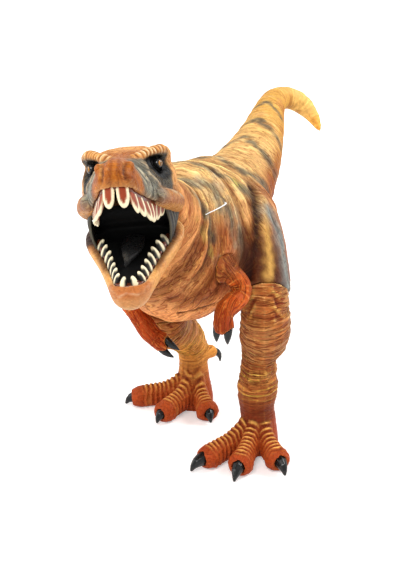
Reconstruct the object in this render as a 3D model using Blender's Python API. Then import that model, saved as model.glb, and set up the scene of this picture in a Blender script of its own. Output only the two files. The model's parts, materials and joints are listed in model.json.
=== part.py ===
"""Open-mouthed toy dinosaur, a walking two-legged hunter in soft vinyl.

The figure faces -Y with its own left side at +X, and stands on both soles at Z = 0. Every
moulding is its own object: trunk, skull, hinged lower jaw, mouth linings, tongue, tooth rows,
eyes, turning arms and legs on flanged plugs, and one horn for each claw.
"""
import math

import bmesh
import bpy
from mathutils import Matrix, Vector

MM = 0.001

# Fits between the mouldings
SEAT_GAP = 0.3 * MM
HINGE_GAP = 0.45 * MM
CUT_OVERRUN = 60 * MM
CUT_MARGIN = 1 * MM

# Trunk, from the hips forward to the neck and back to the tail tip
HIP_HEIGHT = 119 * MM
HIP_AFT = 28 * MM
TRUNK_LEAN = 4 * MM
NECK_RUN = 80 * MM
TRUNK_HALF_WIDTH = 30 * MM
TRUNK_HALF_HEIGHT = 36 * MM
TAIL_RUN = 132 * MM
TAIL_RISE = 37 * MM
TAIL_SWAY = 18 * MM
TAIL_HALF_THICKNESS = 24 * MM

# Head, set on the neck and turned toward its left
HEAD_SIDE = 0.4 * MM
HEAD_FORE = 62.8 * MM
HEAD_HEIGHT = 141.7 * MM
HEAD_YAW = math.radians(23.5)
HEAD_PITCH = math.radians(18)
HEAD_ROLL = math.radians(5.5)
JAW_GAPE = math.radians(34)
HEAD_LENGTH = 66 * MM
HEAD_HALF_WIDTH = 21 * MM
HEAD_CROWN = 25 * MM
NECK_JOINT_SETBACK = 11 * MM
NECK_JOINT_RISE = 4 * MM
NECK_JOINT_RADIUS = 17 * MM
SPIGOT_RADIUS = 8 * MM
SPIGOT_LENGTH = 7 * MM
BROW_RADIUS = 3 * MM
CHEEK_RADIUS = 4.2 * MM
NOSTRIL_RADIUS = 2.1 * MM
LIP_WALL = 1.6 * MM
PALATE_RISE = 9.5 * MM
LINING_THICKNESS = 1.6 * MM
EYE_RADIUS = 2.4 * MM

# Lower jaw, turning on a pin behind the cheeks
JAW_LENGTH = 60 * MM
JAW_HALF_WIDTH = 20 * MM
JAW_DEPTH = 15 * MM
JAW_TROUGH_DEPTH = 5.5 * MM
BARREL_RADIUS = 6.5 * MM
BARREL_HALF_WIDTH = 15.5 * MM
PIN_RADIUS = 1.5 * MM
PIN_OVERHANG = 3 * MM
TONGUE_HALF_WIDTH = 6.5 * MM
TONGUE_THICKNESS = 3.4 * MM

# Tooth rows
UPPER_TEETH = 20
LOWER_TEETH = 18
GUM_THICKNESS = 2.3 * MM
GUM_HEIGHT = 2.6 * MM
UPPER_TOOTH_LENGTH = 9.5 * MM
LOWER_TOOTH_LENGTH = 6.2 * MM
UPPER_TOOTH_RADIUS = 1.9 * MM
LOWER_TOOTH_RADIUS = 1.55 * MM

# Legs
STANCE_HALF = 24 * MM
STRIDE = 30 * MM
LEG_HEIGHT = 85 * MM
LEG_HALF_WIDTH = 12 * MM
LEG_HALF_DEPTH = 15 * MM
HIP_PLUG_RADIUS = 4.0 * MM
HIP_PLUG_FLANGE = 1.5 * MM
HIP_PLUG_REACH = 5.2 * MM
SEAM_MARGIN_SHARE = 1.15

# Feet
TOE_REACH = 38 * MM
TOE_HALF_WIDTH = 5.8 * MM
TOE_HEIGHT = 6.6 * MM
TOE_CLAW_RADIUS = 3.0 * MM
HALLUX_REACH = 13 * MM
HALLUX_RADIUS = 3.8 * MM
HALLUX_CLAW_LENGTH = 9.5 * MM
HALLUX_CLAW_RADIUS = 1.9 * MM
SOLE_CLEARANCE = 0.4 * MM

# Arms
ARM_REACH = 24 * MM
ARM_RADIUS = 5.8 * MM
ARM_PLUG_RADIUS = 2.0 * MM
ARM_PLUG_FLANGE = 0.9 * MM
ARM_PLUG_REACH = 3.6 * MM
FINGER_SPREAD = 2.7 * MM
FINGER_CLAW_LENGTH = 8.5 * MM
FINGER_CLAW_RADIUS = 1.7 * MM
FINGER_RADIUS = 2.9 * MM
ARM_SINK_SHARE = 0.25
ARM_POCKET_SHARE = 1.28

# Squareness of the sections
MOUTH_POWER = 4.0
SKULL_POWER = 2.8

# Fineness of the blended skins
TRUNK_VOXEL = 1.7 * MM
HEAD_VOXEL = 0.85 * MM
LIMB_VOXEL = 0.8 * MM
TRUNK_KEEP_SHARE = 0.058
HEAD_KEEP_SHARE = 0.045
JAW_KEEP_SHARE = 0.05
LEG_KEEP_SHARE = 0.034
ARM_KEEP_SHARE = 0.042

X_AXIS = Vector((1, 0, 0))
Y_AXIS = Vector((0, 1, 0))
Z_AXIS = Vector((0, 0, 1))


# Scene and materials

def clear_scene():
    """Remove whatever the scene held before."""
    for item in list(bpy.data.objects):
        bpy.data.objects.remove(item, do_unlink=True)


def make_material(name, colour, roughness):
    """A plain plastic of one colour."""
    material = bpy.data.materials.new(name)
    material.use_nodes = True
    shader = material.node_tree.nodes["Principled BSDF"]
    shader.inputs["Base Color"].default_value = (*colour, 1)
    shader.inputs["Roughness"].default_value = roughness
    shader.inputs["Metallic"].default_value = 0
    return material


def make_empty(name, matrix, parent=None):
    """A named guide that carries the pieces of one moving group."""
    empty = bpy.data.objects.new(name, None)
    bpy.context.scene.collection.objects.link(empty)
    empty.parent = parent
    empty.matrix_basis = matrix
    return empty


def make_object(name, bm, material, parent):
    """Turn a bmesh into a linked, smooth-shaded object."""
    bmesh.ops.recalc_face_normals(bm, faces=bm.faces)
    mesh = bpy.data.meshes.new(name)
    bm.to_mesh(mesh)
    bm.free()
    mesh.shade_smooth()
    if material is not None:
        mesh.materials.append(material)
    item = bpy.data.objects.new(name, mesh)
    bpy.context.scene.collection.objects.link(item)
    item.parent = parent
    return item


def make_cutter(name, bm, parent):
    """A guide solid that only serves Boolean modifiers."""
    cutter = make_object(name, bm, None, parent)
    cutter.hide_render = True
    cutter.display_type = "WIRE"
    return cutter


# Modifiers

def blend_skin(item, voxel, keep_share, rounds=3):
    """Merge overlapping lofts into one soft skin and thin its faces."""
    remesh = item.modifiers.new("Blend", "REMESH")
    remesh.mode = "VOXEL"
    remesh.voxel_size = voxel
    smooth = item.modifiers.new("Soften", "SMOOTH")
    smooth.iterations = rounds
    thin = item.modifiers.new("Thin", "DECIMATE")
    thin.ratio = keep_share


def boolean(item, other, operation, name):
    """Add or cut away another solid."""
    step = item.modifiers.new(name, "BOOLEAN")
    step.operation = operation
    step.solver = "EXACT"
    step.object = other


def cut(item, cutter):
    """Cut a guide solid out of an object."""
    boolean(item, cutter, "DIFFERENCE", "Cut " + cutter.name)


# Lofts

def superellipse(angle, half_across, half_up, power):
    """A point on a section that is round at power 2 and boxier above it."""
    cosine = math.cos(angle)
    sine = math.sin(angle)
    across = half_across * math.copysign(abs(cosine) ** (2 / power), cosine)
    up = half_up * math.copysign(abs(sine) ** (2 / power), sine)
    return across, up


def catmull(values, index, blend):
    """Smooth value between stations index and index + 1."""
    last = len(values) - 1
    before = values[max(index - 1, 0)]
    start = values[index]
    end = values[min(index + 1, last)]
    after = values[min(index + 2, last)]
    square = blend * blend
    cube = square * blend
    return 0.5 * (
        start * 2
        + (end - before) * blend
        + (before * 2 - start * 5 + end * 4 - after) * square
        + (start * 3 - before - end * 3 + after) * cube
    )


def refine(stations, steps):
    """Stations of centre, half width and half height, with smooth ones between."""
    columns = list(zip(*stations))
    finer = []
    for index in range(len(stations) - 1):
        for step in range(steps):
            finer.append(tuple(catmull(column, index, step / steps) for column in columns))
    finer.append(stations[-1])
    return finer


def add_rings(bm, rings):
    """Join rings of equal count into a closed solid with flat ends."""
    loops = [[bm.verts.new(point) for point in ring] for ring in rings]
    count = len(loops[0])
    for first, second in zip(loops, loops[1:]):
        for index in range(count):
            following = (index + 1) % count
            bm.faces.new((first[index], first[following], second[following], second[index]))
    bm.faces.new(list(reversed(loops[0])))
    bm.faces.new(loops[-1])


def add_loft(bm, stations, hint, sides, power=2.0, facing=None):
    """Skin sections along a path; hint points across it, facing fixes the sections' normal.

    A station may add a half height below its centre, and then a power for its upper half.
    """
    rings = []
    last = len(stations) - 1
    for index, (centre, half_across, half_up, *more) in enumerate(stations):
        half_down = more[0] if more else half_up
        top_power = more[1] if len(more) > 1 else power
        tangent = facing
        if facing is None:
            ahead = stations[min(index + 1, last)][0]
            behind = stations[max(index - 1, 0)][0]
            tangent = (ahead - behind).normalized()
        across = (hint - tangent * hint.dot(tangent)).normalized()
        up = tangent.cross(across)
        ring = []
        for side in range(sides):
            angle = math.tau * side / sides
            if math.sin(angle) > 0:
                along, rise = superellipse(angle, half_across, half_up, top_power)
            else:
                along, rise = superellipse(angle, half_across, half_down, power)
            ring.append(centre + across * along + up * rise)
        rings.append(ring)
    add_rings(bm, rings)


def add_channel(bm, sections):
    """A square-edged slab or channel along Y, from (y, half width, low edge, high edge)."""
    rings = []
    for place, half, low, high in sections:
        rings.append([
            Vector((-half, place, low)),
            Vector((half, place, low)),
            Vector((half, place, high)),
            Vector((-half, place, high)),
        ])
    add_rings(bm, rings)


def add_ball(bm, centre, radii, sides=12):
    """An ellipsoid with the given half sizes."""
    matrix = Matrix.Translation(centre) @ Matrix.Diagonal((*radii, 1))
    bmesh.ops.create_uvsphere(bm, u_segments=sides, v_segments=sides // 2, radius=1, matrix=matrix)


def add_turned(bm, profile, origin, axis, sides):
    """Turn a profile of (distance along the axis, radius) about the axis."""
    helper = X_AXIS if abs(axis.x) < abs(axis.z) else Z_AXIS
    across = (helper - axis * helper.dot(axis)).normalized()
    up = axis.cross(across)
    rings = []
    for distance, radius in profile:
        ring = []
        for side in range(sides):
            angle = math.tau * side / sides
            ring.append(
                origin
                + axis * distance
                + across * (radius * math.cos(angle))
                + up * (radius * math.sin(angle))
            )
        rings.append(ring)
    add_rings(bm, rings)


def add_half_space(bm, origin, normal):
    """A large block whose near face lies at origin, on the side that normal points to."""
    profile = ((0, CUT_OVERRUN), (CUT_OVERRUN, CUT_OVERRUN))
    add_turned(bm, profile, origin, normal, 4)


# Trunk

TRUNK_SHARES = (
    # forward, height, width, half height
    (0.000, 0.995, 0.96, 0.80),
    (0.175, 0.950, 1.01, 0.97),
    (0.425, 0.935, 0.96, 1.06),
    (0.690, 0.990, 0.82, 0.87),
    (0.875, 1.098, 0.68, 0.63),
)

TAIL_SHARES = (
    # back, rise, sway, half thickness
    (0.150, 0.16, -0.13, 0.85),
    (0.356, 0.42, -0.04, 0.65),
    (0.545, 0.66, 0.18, 0.50),
    (0.712, 0.86, 0.47, 0.38),
    (0.850, 0.98, 0.64, 0.305),
    (0.945, 0.99, 0.46, 0.275),
    (0.990, 0.88, 0.08, 0.245),
    (0.988, 0.72, -0.30, 0.18),
    (0.972, 0.58, -0.54, 0.12),
    (0.955, 0.47, -0.70, 0.045),
)


def head_matrix():
    """Placement of the head: origin on the jaw hinge, local -Y forward."""
    yaw = Matrix.Rotation(HEAD_YAW, 4, "Z")
    pitch = Matrix.Rotation(-HEAD_PITCH, 4, "X")
    roll = Matrix.Rotation(-HEAD_ROLL, 4, "Y")
    return Matrix.Translation((HEAD_SIDE, -HEAD_FORE, HEAD_HEIGHT)) @ yaw @ pitch @ roll


def neck_joint():
    """Centre and outward direction of the joint between neck and skull."""
    matrix = head_matrix()
    centre = matrix @ Vector((0, NECK_JOINT_SETBACK, NECK_JOINT_RISE))
    forward = matrix.to_3x3() @ -Y_AXIS
    return centre, forward


def trunk_stations():
    """Sections from the tail tip to just past the neck joint."""
    stations = []
    for back, rise, sway, thick in reversed(TAIL_SHARES):
        centre = Vector((
            -TRUNK_LEAN - sway * TAIL_SWAY,
            HIP_AFT + back * TAIL_RUN,
            HIP_HEIGHT + rise * TAIL_RISE,
        ))
        half = thick * TAIL_HALF_THICKNESS
        stations.append((centre, half, half))
    for fore, height, width, half_height in TRUNK_SHARES:
        centre = Vector((-TRUNK_LEAN, HIP_AFT - fore * NECK_RUN, height * HIP_HEIGHT))
        stations.append((centre, width * TRUNK_HALF_WIDTH, half_height * TRUNK_HALF_HEIGHT))
    centre, forward = neck_joint()
    stations.append((centre, NECK_JOINT_RADIUS, NECK_JOINT_RADIUS))
    stations.append((centre + forward * SPIGOT_LENGTH, NECK_JOINT_RADIUS, NECK_JOINT_RADIUS))
    return stations


# Legs

LEFT_THIGH_SHARES = (
    # side, back, height, half width, half depth
    (0.42, 0.85, 1.55, 0.55, 0.80),
    (0.74, 0.75, 1.44, 0.90, 1.15),
    (0.99, 0.55, 1.26, 1.00, 1.22),
    (1.17, 0.42, 1.10, 1.00, 1.10),
    (1.30, 0.30, 0.96, 0.94, 1.00),
)

LEFT_SHANK_SHARES = (
    (1.17, 0.45, 1.13, 1.00, 1.07),
    (1.27, 0.33, 1.00, 0.94, 1.00),
    (1.35, 0.23, 0.915, 0.93, 0.94),
    (1.36, 0.22, 0.855, 0.97, 0.93),
    (1.33, 0.27, 0.785, 0.99, 0.92),
    (1.28, 0.34, 0.72, 0.94, 0.86),
    (1.19, 0.41, 0.65, 0.77, 0.74),
    (1.135, 0.44, 0.575, 0.68, 0.68),
    (1.135, 0.43, 0.49, 0.76, 0.70),
    (1.14, 0.40, 0.39, 0.82, 0.68),
    (1.13, 0.40, 0.28, 0.72, 0.62),
    (1.17, 0.42, 0.16, 0.74, 0.64),
    (1.16, 0.42, 0.06, 0.86, 0.70),
    (1.15, 0.42, -0.02, 0.83, 0.70),
)

RIGHT_THIGH_SHARES = (
    (-1.13, 0.66, 1.29, 1.08, 1.30),
    (-1.06, 0.45, 1.08, 1.12, 1.20),
    (-0.96, 0.27, 0.92, 1.06, 1.05),
    (-0.84, 0.03, 0.74, 0.98, 0.90),
)

RIGHT_SHANK_SHARES = (
    (-0.95, 0.27, 0.92, 1.06, 0.95),
    (-0.88, 0.12, 0.78, 0.98, 0.88),
    (-0.90, 0.34, 0.705, 0.90, 0.80),
    (-0.94, 0.70, 0.63, 0.84, 0.72),
    (-1.00, 1.06, 0.545, 0.76, 0.66),
    (-1.02, 1.36, 0.46, 0.70, 0.62),
    (-1.01, 1.50, 0.37, 0.66, 0.60),
    (-1.00, 1.50, 0.28, 0.65, 0.58),
    (-0.97, 1.46, 0.18, 0.74, 0.62),
    (-0.92, 1.43, 0.07, 0.83, 0.70),
    (-0.90, 1.43, -0.02, 0.79, 0.67),
)

LEFT_SEAM_SHARES = (1.29, 0.33, 1.00)
RIGHT_SEAM_SHARES = (-0.75, 0.07, 0.78)
LEFT_SEAM_NORMAL = Vector((-0.42, 0.55, 0.72)).normalized()
RIGHT_SEAM_NORMAL = Vector((-0.25, 0.20, 0.95)).normalized()

# angles from straight ahead toward the figure's left
LEFT_TOE_ANGLES = (math.radians(-27), math.radians(5), math.radians(46))
RIGHT_TOE_ANGLES = (math.radians(-61), math.radians(-14), math.radians(43))
LEFT_HALLUX_ANGLE = math.radians(-160)
RIGHT_HALLUX_ANGLE = math.radians(150)

LEFT_TOE_REACH_SHARES = (1.13, 1.01, 0.86)
RIGHT_TOE_REACH_SHARES = (1.03, 0.87, 0.70)
LEFT_PAD_SHARE = 1.0
RIGHT_PAD_SHARE = 1.08

TOE_SHARES = (
    # reach, half width, height of the centre, half height
    (0.02, 1.25, 1.15, 1.20),
    (0.22, 0.96, 1.10, 1.10),
    (0.42, 0.80, 1.02, 1.05),
    (0.60, 0.84, 0.92, 0.98),
    (0.74, 1.12, 0.82, 0.90),
    (0.84, 0.82, 0.76, 0.66),
)

TENDON_SHARES = (
    # reach, height and radius by the toe height
    (0.04, 3.70, 0.60),
    (0.14, 2.80, 0.58),
    (0.27, 2.06, 0.55),
    (0.44, 1.60, 0.50),
    (0.62, 1.28, 0.44),
)

CLAW_SHARES = (1.0, 1.08, 1.0, 0.80, 0.50, 0.18)


def leg_point(side, back, height):
    """A place on a leg from its shares."""
    return Vector((side * STANCE_HALF, back * STRIDE, height * LEG_HEIGHT))


def leg_stations(shares):
    """Sections down a leg."""
    return [
        (leg_point(side, back, height), width * LEG_HALF_WIDTH, depth * LEG_HALF_DEPTH)
        for side, back, height, width, depth in shares
    ]


def heading_vector(angle):
    """Level direction, turned from straight ahead toward the figure's left."""
    return Vector((math.sin(angle), -math.cos(angle), 0))


def foot_centre(shares):
    """Point on the floor below the shank."""
    side, back = shares[-1][0], shares[-1][1]
    return Vector((side * STANCE_HALF, back * STRIDE, 0))


def toe_stations(base, heading, reach):
    """Sections of one toe, from the foot to its rounded end."""
    ahead = heading_vector(heading)
    return [
        (
            base + ahead * (along * reach) + Z_AXIS * (height * TOE_HEIGHT),
            width * TOE_HALF_WIDTH,
            half_height * TOE_HEIGHT,
        )
        for along, width, height, half_height in TOE_SHARES
    ]


def tendon_stations(base, heading, reach):
    """Sections of the ridge that runs down the instep onto one toe."""
    ahead = heading_vector(heading)
    return [
        (
            base + ahead * (along * reach) + Z_AXIS * (height * TOE_HEIGHT),
            radius * TOE_HEIGHT,
            radius * TOE_HEIGHT,
        )
        for along, height, radius in TENDON_SHARES
    ]


def toe_claw_path(base, heading, reach):
    """Root, arch and tip of a toe claw that curves down to the floor."""
    ahead = heading_vector(heading)
    root = base + ahead * (0.70 * reach) + Z_AXIS * (0.82 * TOE_HEIGHT)
    arch = base + ahead * (0.94 * reach) + Z_AXIS * (1.08 * TOE_HEIGHT)
    tip = base + ahead * reach + Z_AXIS * (SOLE_CLEARANCE + 0.3 * TOE_CLAW_RADIUS)
    return root, arch, tip


def hallux_path(shares, heading):
    """Root and end of the raised fourth toe."""
    ankle = foot_centre(shares) + Z_AXIS * (0.36 * LEG_HEIGHT)
    ahead = heading_vector(heading)
    root = ankle + ahead * (0.20 * HALLUX_REACH)
    end = ankle + ahead * HALLUX_REACH - Z_AXIS * (0.12 * HALLUX_REACH)
    return root, end


def hallux_claw_path(shares, heading):
    """Root, arch and tip of the claw of the fourth toe."""
    root, end = hallux_path(shares, heading)
    ahead = (end - root).normalized()
    start = end - ahead * (0.3 * HALLUX_CLAW_LENGTH)
    arch = end + ahead * (0.45 * HALLUX_CLAW_LENGTH)
    tip = end + ahead * (0.4 * HALLUX_CLAW_LENGTH) - Z_AXIS * (0.75 * HALLUX_CLAW_LENGTH)
    return start, arch, tip


def claw_stations(path, radius, grow):
    """Sections along a curved horn; grow widens it into its socket."""
    root, arch, tip = path
    last = len(CLAW_SHARES) - 1
    stations = []
    for index, share in enumerate(CLAW_SHARES):
        blend = index / last
        rest = 1 - blend
        centre = root * (rest * rest) + arch * (2 * rest * blend) + tip * (blend * blend)
        half = share * radius + grow
        stations.append((centre, half, half * 1.15))
    return stations


def claw_hint(path):
    """Level direction across a claw."""
    along = path[2] - path[0]
    return along.cross(Z_AXIS).normalized()


def add_claw(bm, path, radius, grow=0.0):
    """One horn, or with grow the socket that it seats in."""
    stations = claw_stations(path, radius, grow)
    if grow:
        start = stations[0][0]
        inward = (start - stations[1][0]).normalized()
        stations[0] = (start + inward * grow, stations[0][1], stations[0][2])
    add_loft(bm, stations, claw_hint(path), 8)


# Arms

LEFT_ARM_SHARES = (
    # side, back, height from the shoulder, half width, half depth
    (-0.22, 0.00, 0.00, 0.86, 0.86),
    (0.14, 0.02, -0.12, 0.86, 0.86),
    (0.34, 0.02, -0.30, 0.79, 0.81),
    (0.38, -0.08, -0.46, 0.77, 0.79),
    (0.33, -0.30, -0.54, 0.77, 0.79),
    (0.25, -0.50, -0.64, 0.80, 0.78),
    (0.23, -0.55, -0.82, 0.84, 0.72),
    (0.23, -0.54, -0.98, 0.78, 0.66),
    (0.23, -0.52, -1.07, 0.46, 0.42),
)

RIGHT_ARM_SHARES = (
    (0.22, 0.00, 0.00, 0.88, 0.92),
    (-0.14, 0.05, -0.16, 0.88, 0.92),
    (-0.19, 0.02, -0.45, 0.84, 0.90),
    (0.08, -0.10, -0.74, 0.82, 0.87),
    (0.36, -0.20, -1.00, 0.80, 0.84),
    (0.58, -0.26, -1.22, 0.80, 0.82),
    (0.76, -0.26, -1.36, 0.80, 0.74),
    (0.91, -0.26, -1.44, 0.72, 0.66),
    (1.01, -0.26, -1.50, 0.44, 0.40),
)

SHOULDER_DOME_SHARES = (
    # outward by the arm's radius, radius by the pocket's
    (0.00, 1.00),
    (0.30, 1.00),
    (0.62, 0.88),
    (0.88, 0.60),
    (1.00, 0.25),
)

LEFT_SHOULDER_SHARES = (0.85, 0.58, 0.89)
RIGHT_SHOULDER_SHARES = (-0.86, 0.54, 0.83)


def shoulder_point(shares):
    """Shoulder centre from shares of trunk width, neck run and hip height."""
    side, fore, height = shares
    return Vector((
        side * TRUNK_HALF_WIDTH - TRUNK_LEAN,
        HIP_AFT - fore * NECK_RUN,
        height * HIP_HEIGHT,
    ))


def arm_stations(shoulder, shares):
    """Sections down an arm."""
    return [
        (
            shoulder + Vector((side, back, height)) * ARM_REACH,
            width * ARM_RADIUS,
            depth * ARM_RADIUS,
        )
        for side, back, height, width, depth in shares
    ]


def finger_claw_path(stations, side):
    """Root, arch and tip of a finger claw; side is -1 or 1."""
    wrist = stations[-4][0]
    end = stations[-2][0]
    ahead = (end - wrist).normalized()
    across = ahead.cross(Y_AXIS).normalized() * (side * FINGER_SPREAD)
    root = end + across - ahead * (0.1 * FINGER_CLAW_LENGTH)
    arch = root + ahead * (0.55 * FINGER_CLAW_LENGTH) - Y_AXIS * (0.12 * FINGER_CLAW_LENGTH)
    tip = root + ahead * FINGER_CLAW_LENGTH + Y_AXIS * (0.12 * FINGER_CLAW_LENGTH)
    return root, arch, tip


# Plugs

def plug_profile(radius, flange, reach, grow):
    """Turned profile of a plug with a flange at each end."""
    rim = radius + flange + grow
    neck = radius + grow
    end = reach + grow
    inner = reach - flange - grow
    return (
        (-end, rim),
        (-inner, rim),
        (-inner + grow, neck),
        (inner - grow, neck),
        (inner, rim),
        (end, rim),
    )


# Head, in its own frame: origin on the hinge, -Y forward

SKULL_SHARES = (
    # forward share of length, half width share, widest height, top and bottom by the crown,
    # squareness of the top
    (-0.30, 0.74, 0.20, 0.74, -0.42, 2.8),
    (-0.15, 0.82, 0.22, 0.89, -0.32, 2.8),
    (-0.04, 0.89, 0.22, 0.98, -0.18, 2.8),
    (0.10, 0.91, 0.22, 0.99, -0.10, 2.7),
    (0.24, 0.83, 0.22, 0.90, -0.04, 2.6),
    (0.38, 0.73, 0.20, 0.78, -0.05, 2.3),
    (0.55, 0.63, 0.17, 0.70, -0.07, 1.9),
    (0.72, 0.52, 0.18, 0.65, -0.02, 1.7),
    (0.86, 0.38, 0.24, 0.60, 0.08, 1.7),
    (0.94, 0.27, 0.30, 0.54, 0.18, 1.8),
    (0.985, 0.14, 0.35, 0.46, 0.26, 2.0),
)

JAW_SHARES = (
    # forward share of length, half width share, widest height, top and bottom by the depth
    (0.02, 0.92, -0.46, -0.34, -0.84),
    (0.10, 1.00, -0.42, -0.30, -0.95),
    (0.22, 0.98, -0.38, -0.26, -1.00),
    (0.36, 0.84, -0.38, -0.26, -0.96),
    (0.52, 0.66, -0.34, -0.22, -0.88),
    (0.68, 0.52, -0.28, -0.16, -0.78),
    (0.82, 0.42, -0.14, -0.02, -0.67),
    (0.92, 0.34, -0.04, 0.08, -0.57),
    (0.985, 0.19, -0.12, 0.02, -0.44),
)

JAW_ROOT_SHARES = (
    # forward, height, half thickness of the web that joins the jaw to its barrel
    (0.02, -0.15, 0.35),
    (0.12, -0.45, 0.32),
    (0.22, -0.62, 0.28),
)


def head_point(side, fore, up):
    """A place in the head from shares of half width, length and crown."""
    return Vector((side * HEAD_HALF_WIDTH, -fore * HEAD_LENGTH, up * HEAD_CROWN))


def skull_stations():
    """Sections of the skull from the neck joint to the nose."""
    return [
        (
            head_point(0, fore, belt),
            width * HEAD_HALF_WIDTH,
            (top - belt) * HEAD_CROWN,
            (belt - bottom) * HEAD_CROWN,
            squareness,
        )
        for fore, width, belt, top, bottom, squareness in SKULL_SHARES
    ]


def jaw_stations():
    """Sections of the lower jaw from the hinge to the chin."""
    return [
        (
            Vector((0, -fore * JAW_LENGTH, belt * JAW_DEPTH)),
            width * JAW_HALF_WIDTH,
            (top - belt) * JAW_DEPTH,
            (belt - bottom) * JAW_DEPTH,
        )
        for fore, width, belt, top, bottom in JAW_SHARES
    ]


BROW_SHARES = (
    # side, forward, up, thickness
    (0.62, -0.08, 0.66, 0.80),
    (0.68, 0.06, 0.79, 1.00),
    (0.67, 0.20, 0.82, 1.05),
    (0.50, 0.33, 0.77, 0.90),
    (0.26, 0.46, 0.68, 0.60),
)

CHEEK_SHARES = (
    (0.58, 0.56, 0.10, 0.75),
    (0.68, 0.38, 0.08, 0.90),
    (0.76, 0.22, 0.05, 1.00),
    (0.80, 0.06, 0.05, 1.05),
    (0.78, -0.08, 0.10, 0.90),
)

NOSTRIL_SHARES = (0.25, 0.88, 0.47)
EYE_SHARES = (0.63, 0.30, 0.64)

MOUTH_REAR_SHARE = 0.0
PALATE_REAR_SHARE = 0.14
TROUGH_REAR_SHARE = 0.15
JAW_LINING_REAR_SHARE = 0.20
JAW_ROOM_SHARE = 0.30
JAW_ROOM_RISE_SHARE = -0.26
UPPER_ARCH_FRONT_SHARE = 0.86
LOWER_ARCH_FRONT_SHARE = 0.82
ARCH_NOSE_SHARE = 0.09
ARCH_NOSE_STEPS = 4
UPPER_ARCH_REAR_SHARE = 0.26
LOWER_ARCH_REAR_SHARE = 0.24
LOWER_ARCH_WIDTH_SHARE = 0.90

TOOTH_DEPTH_SHARE = 0.46
UPPER_TOOTH_SHARES = (0.80, 0.78, 0.76, 0.74, 0.74, 0.72, 0.68, 0.60, 0.50, 0.36)
LOWER_TOOTH_SHARES = (0.84, 0.96, 1.00, 0.94, 0.86, 0.78, 0.70, 0.60, 0.50)

TONGUE_SHARES = (
    # forward, half width, lift of the centre, half thickness
    (0.20, 0.80, 0.50, 0.40),
    (0.32, 1.00, 0.52, 0.50),
    (0.46, 0.92, 0.52, 0.50),
    (0.60, 0.66, 0.58, 0.44),
    (0.70, 0.34, 0.72, 0.34),
    (0.75, 0.10, 0.86, 0.18),
)


def read_share(shares, fore, column):
    """A column of a section table at a forward share, read between its rows."""
    for first, second in zip(shares, shares[1:]):
        if first[0] <= fore <= second[0]:
            blend = (fore - first[0]) / (second[0] - first[0])
            return first[column] + (second[column] - first[column]) * blend
    return shares[-1][column]


class Arch:
    """Plan outline of a jaw, inset from its skin, with a rounded front."""

    def __init__(self, shares, half_width, length, front_share, rear_share):
        self.shares = shares
        self.half_width = half_width
        self.length = length
        self.front = front_share
        self.rear = rear_share

    def half(self, fore, inset):
        """Half width between the rear and the start of the nose."""
        return read_share(self.shares, fore, 1) * self.half_width - inset

    def rows(self, inset, rear, widest=math.inf):
        """Pairs of forward share and half width, from the rear to the flat of the nose."""
        straight = [row[0] for row in self.shares if rear < row[0] < self.front]
        places = [rear, *straight, self.front]
        rows = [(fore, min(self.half(fore, inset), widest)) for fore in places]
        front = rows[-1][1]
        nose = ARCH_NOSE_SHARE - (inset - LIP_WALL) / self.length
        for step in range(1, ARCH_NOSE_STEPS + 1):
            angle = math.pi * step / (2 * ARCH_NOSE_STEPS + 1)
            rows.append((self.front + nose * math.sin(angle), front * math.cos(angle)))
        return rows

    def outline(self, inset):
        """Points round the arch from its right rear to its left rear."""
        rows = self.rows(inset, self.rear)
        right = [Vector((-half, -fore * self.length, 0)) for fore, half in rows]
        left = [Vector((half, -fore * self.length, 0)) for fore, half in reversed(rows)]
        return right + left


def resample(points, count):
    """Count points at equal distances along a run of points."""
    runs = [0.0]
    for first, second in zip(points, points[1:]):
        runs.append(runs[-1] + (second - first).length)
    even = []
    segment = 0
    for index in range(count):
        target = runs[-1] * index / (count - 1)
        while segment < len(points) - 2 and runs[segment + 1] < target:
            segment += 1
        span = runs[segment + 1] - runs[segment]
        blend = (target - runs[segment]) / span
        even.append(points[segment].lerp(points[segment + 1], blend))
    return even


def add_gum(bm, points, root, rise):
    """A band along points, from the height root(point) to that height plus rise."""
    rings = []
    last = len(points) - 1
    for index, point in enumerate(points):
        along = (points[min(index + 1, last)] - points[max(index - 1, 0)]).normalized()
        across = along.cross(Z_AXIS) * (GUM_THICKNESS / 2)
        edge = point + Z_AXIS * root(point)
        buried = edge + Z_AXIS * rise
        rings.append([edge - across, edge + across, buried + across, buried - across])
    add_rings(bm, rings)


def add_tooth(bm, base, tip, along, radius):
    """A blade-backed tooth with a broad root and a blunt point."""
    middle = base.lerp(tip, 0.5)
    deep = TOOTH_DEPTH_SHARE * GUM_THICKNESS
    stations = (
        (base, radius, deep),
        (middle, 0.86 * radius, 0.9 * deep),
        (tip, 0.22 * radius, 0.3 * deep),
    )
    add_loft(bm, stations, along, 5)


# Pieces

def build_trunk(figure, material):
    """Trunk, neck, tail and both upper thighs as one moulding."""
    bm = bmesh.new()
    add_loft(bm, refine(trunk_stations(), 4), X_AXIS, 20)
    add_loft(bm, refine(leg_stations(LEFT_THIGH_SHARES), 3), X_AXIS, 14)
    add_loft(bm, refine(leg_stations(RIGHT_THIGH_SHARES), 3), X_AXIS, 14)
    trunk = make_object("trunk", bm, material, figure)
    blend_skin(trunk, TRUNK_VOXEL, TRUNK_KEEP_SHARE)
    return trunk


def cut_neck(trunk, mount):
    """Trim the neck to its joint face and open the socket for the spigot."""
    bm = bmesh.new()
    add_half_space(bm, Vector((0, NECK_JOINT_SETBACK, 0)), -Y_AXIS)
    cut(trunk, make_cutter("neck_trim", bm, mount))
    bm = bmesh.new()
    profile = (
        (-SPIGOT_LENGTH, SPIGOT_RADIUS + SEAT_GAP),
        (SPIGOT_LENGTH + SEAT_GAP, SPIGOT_RADIUS + SEAT_GAP),
    )
    add_turned(bm, profile, Vector((0, NECK_JOINT_SETBACK, NECK_JOINT_RISE)), Y_AXIS, 24)
    cut(trunk, make_cutter("neck_socket", bm, mount))


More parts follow.
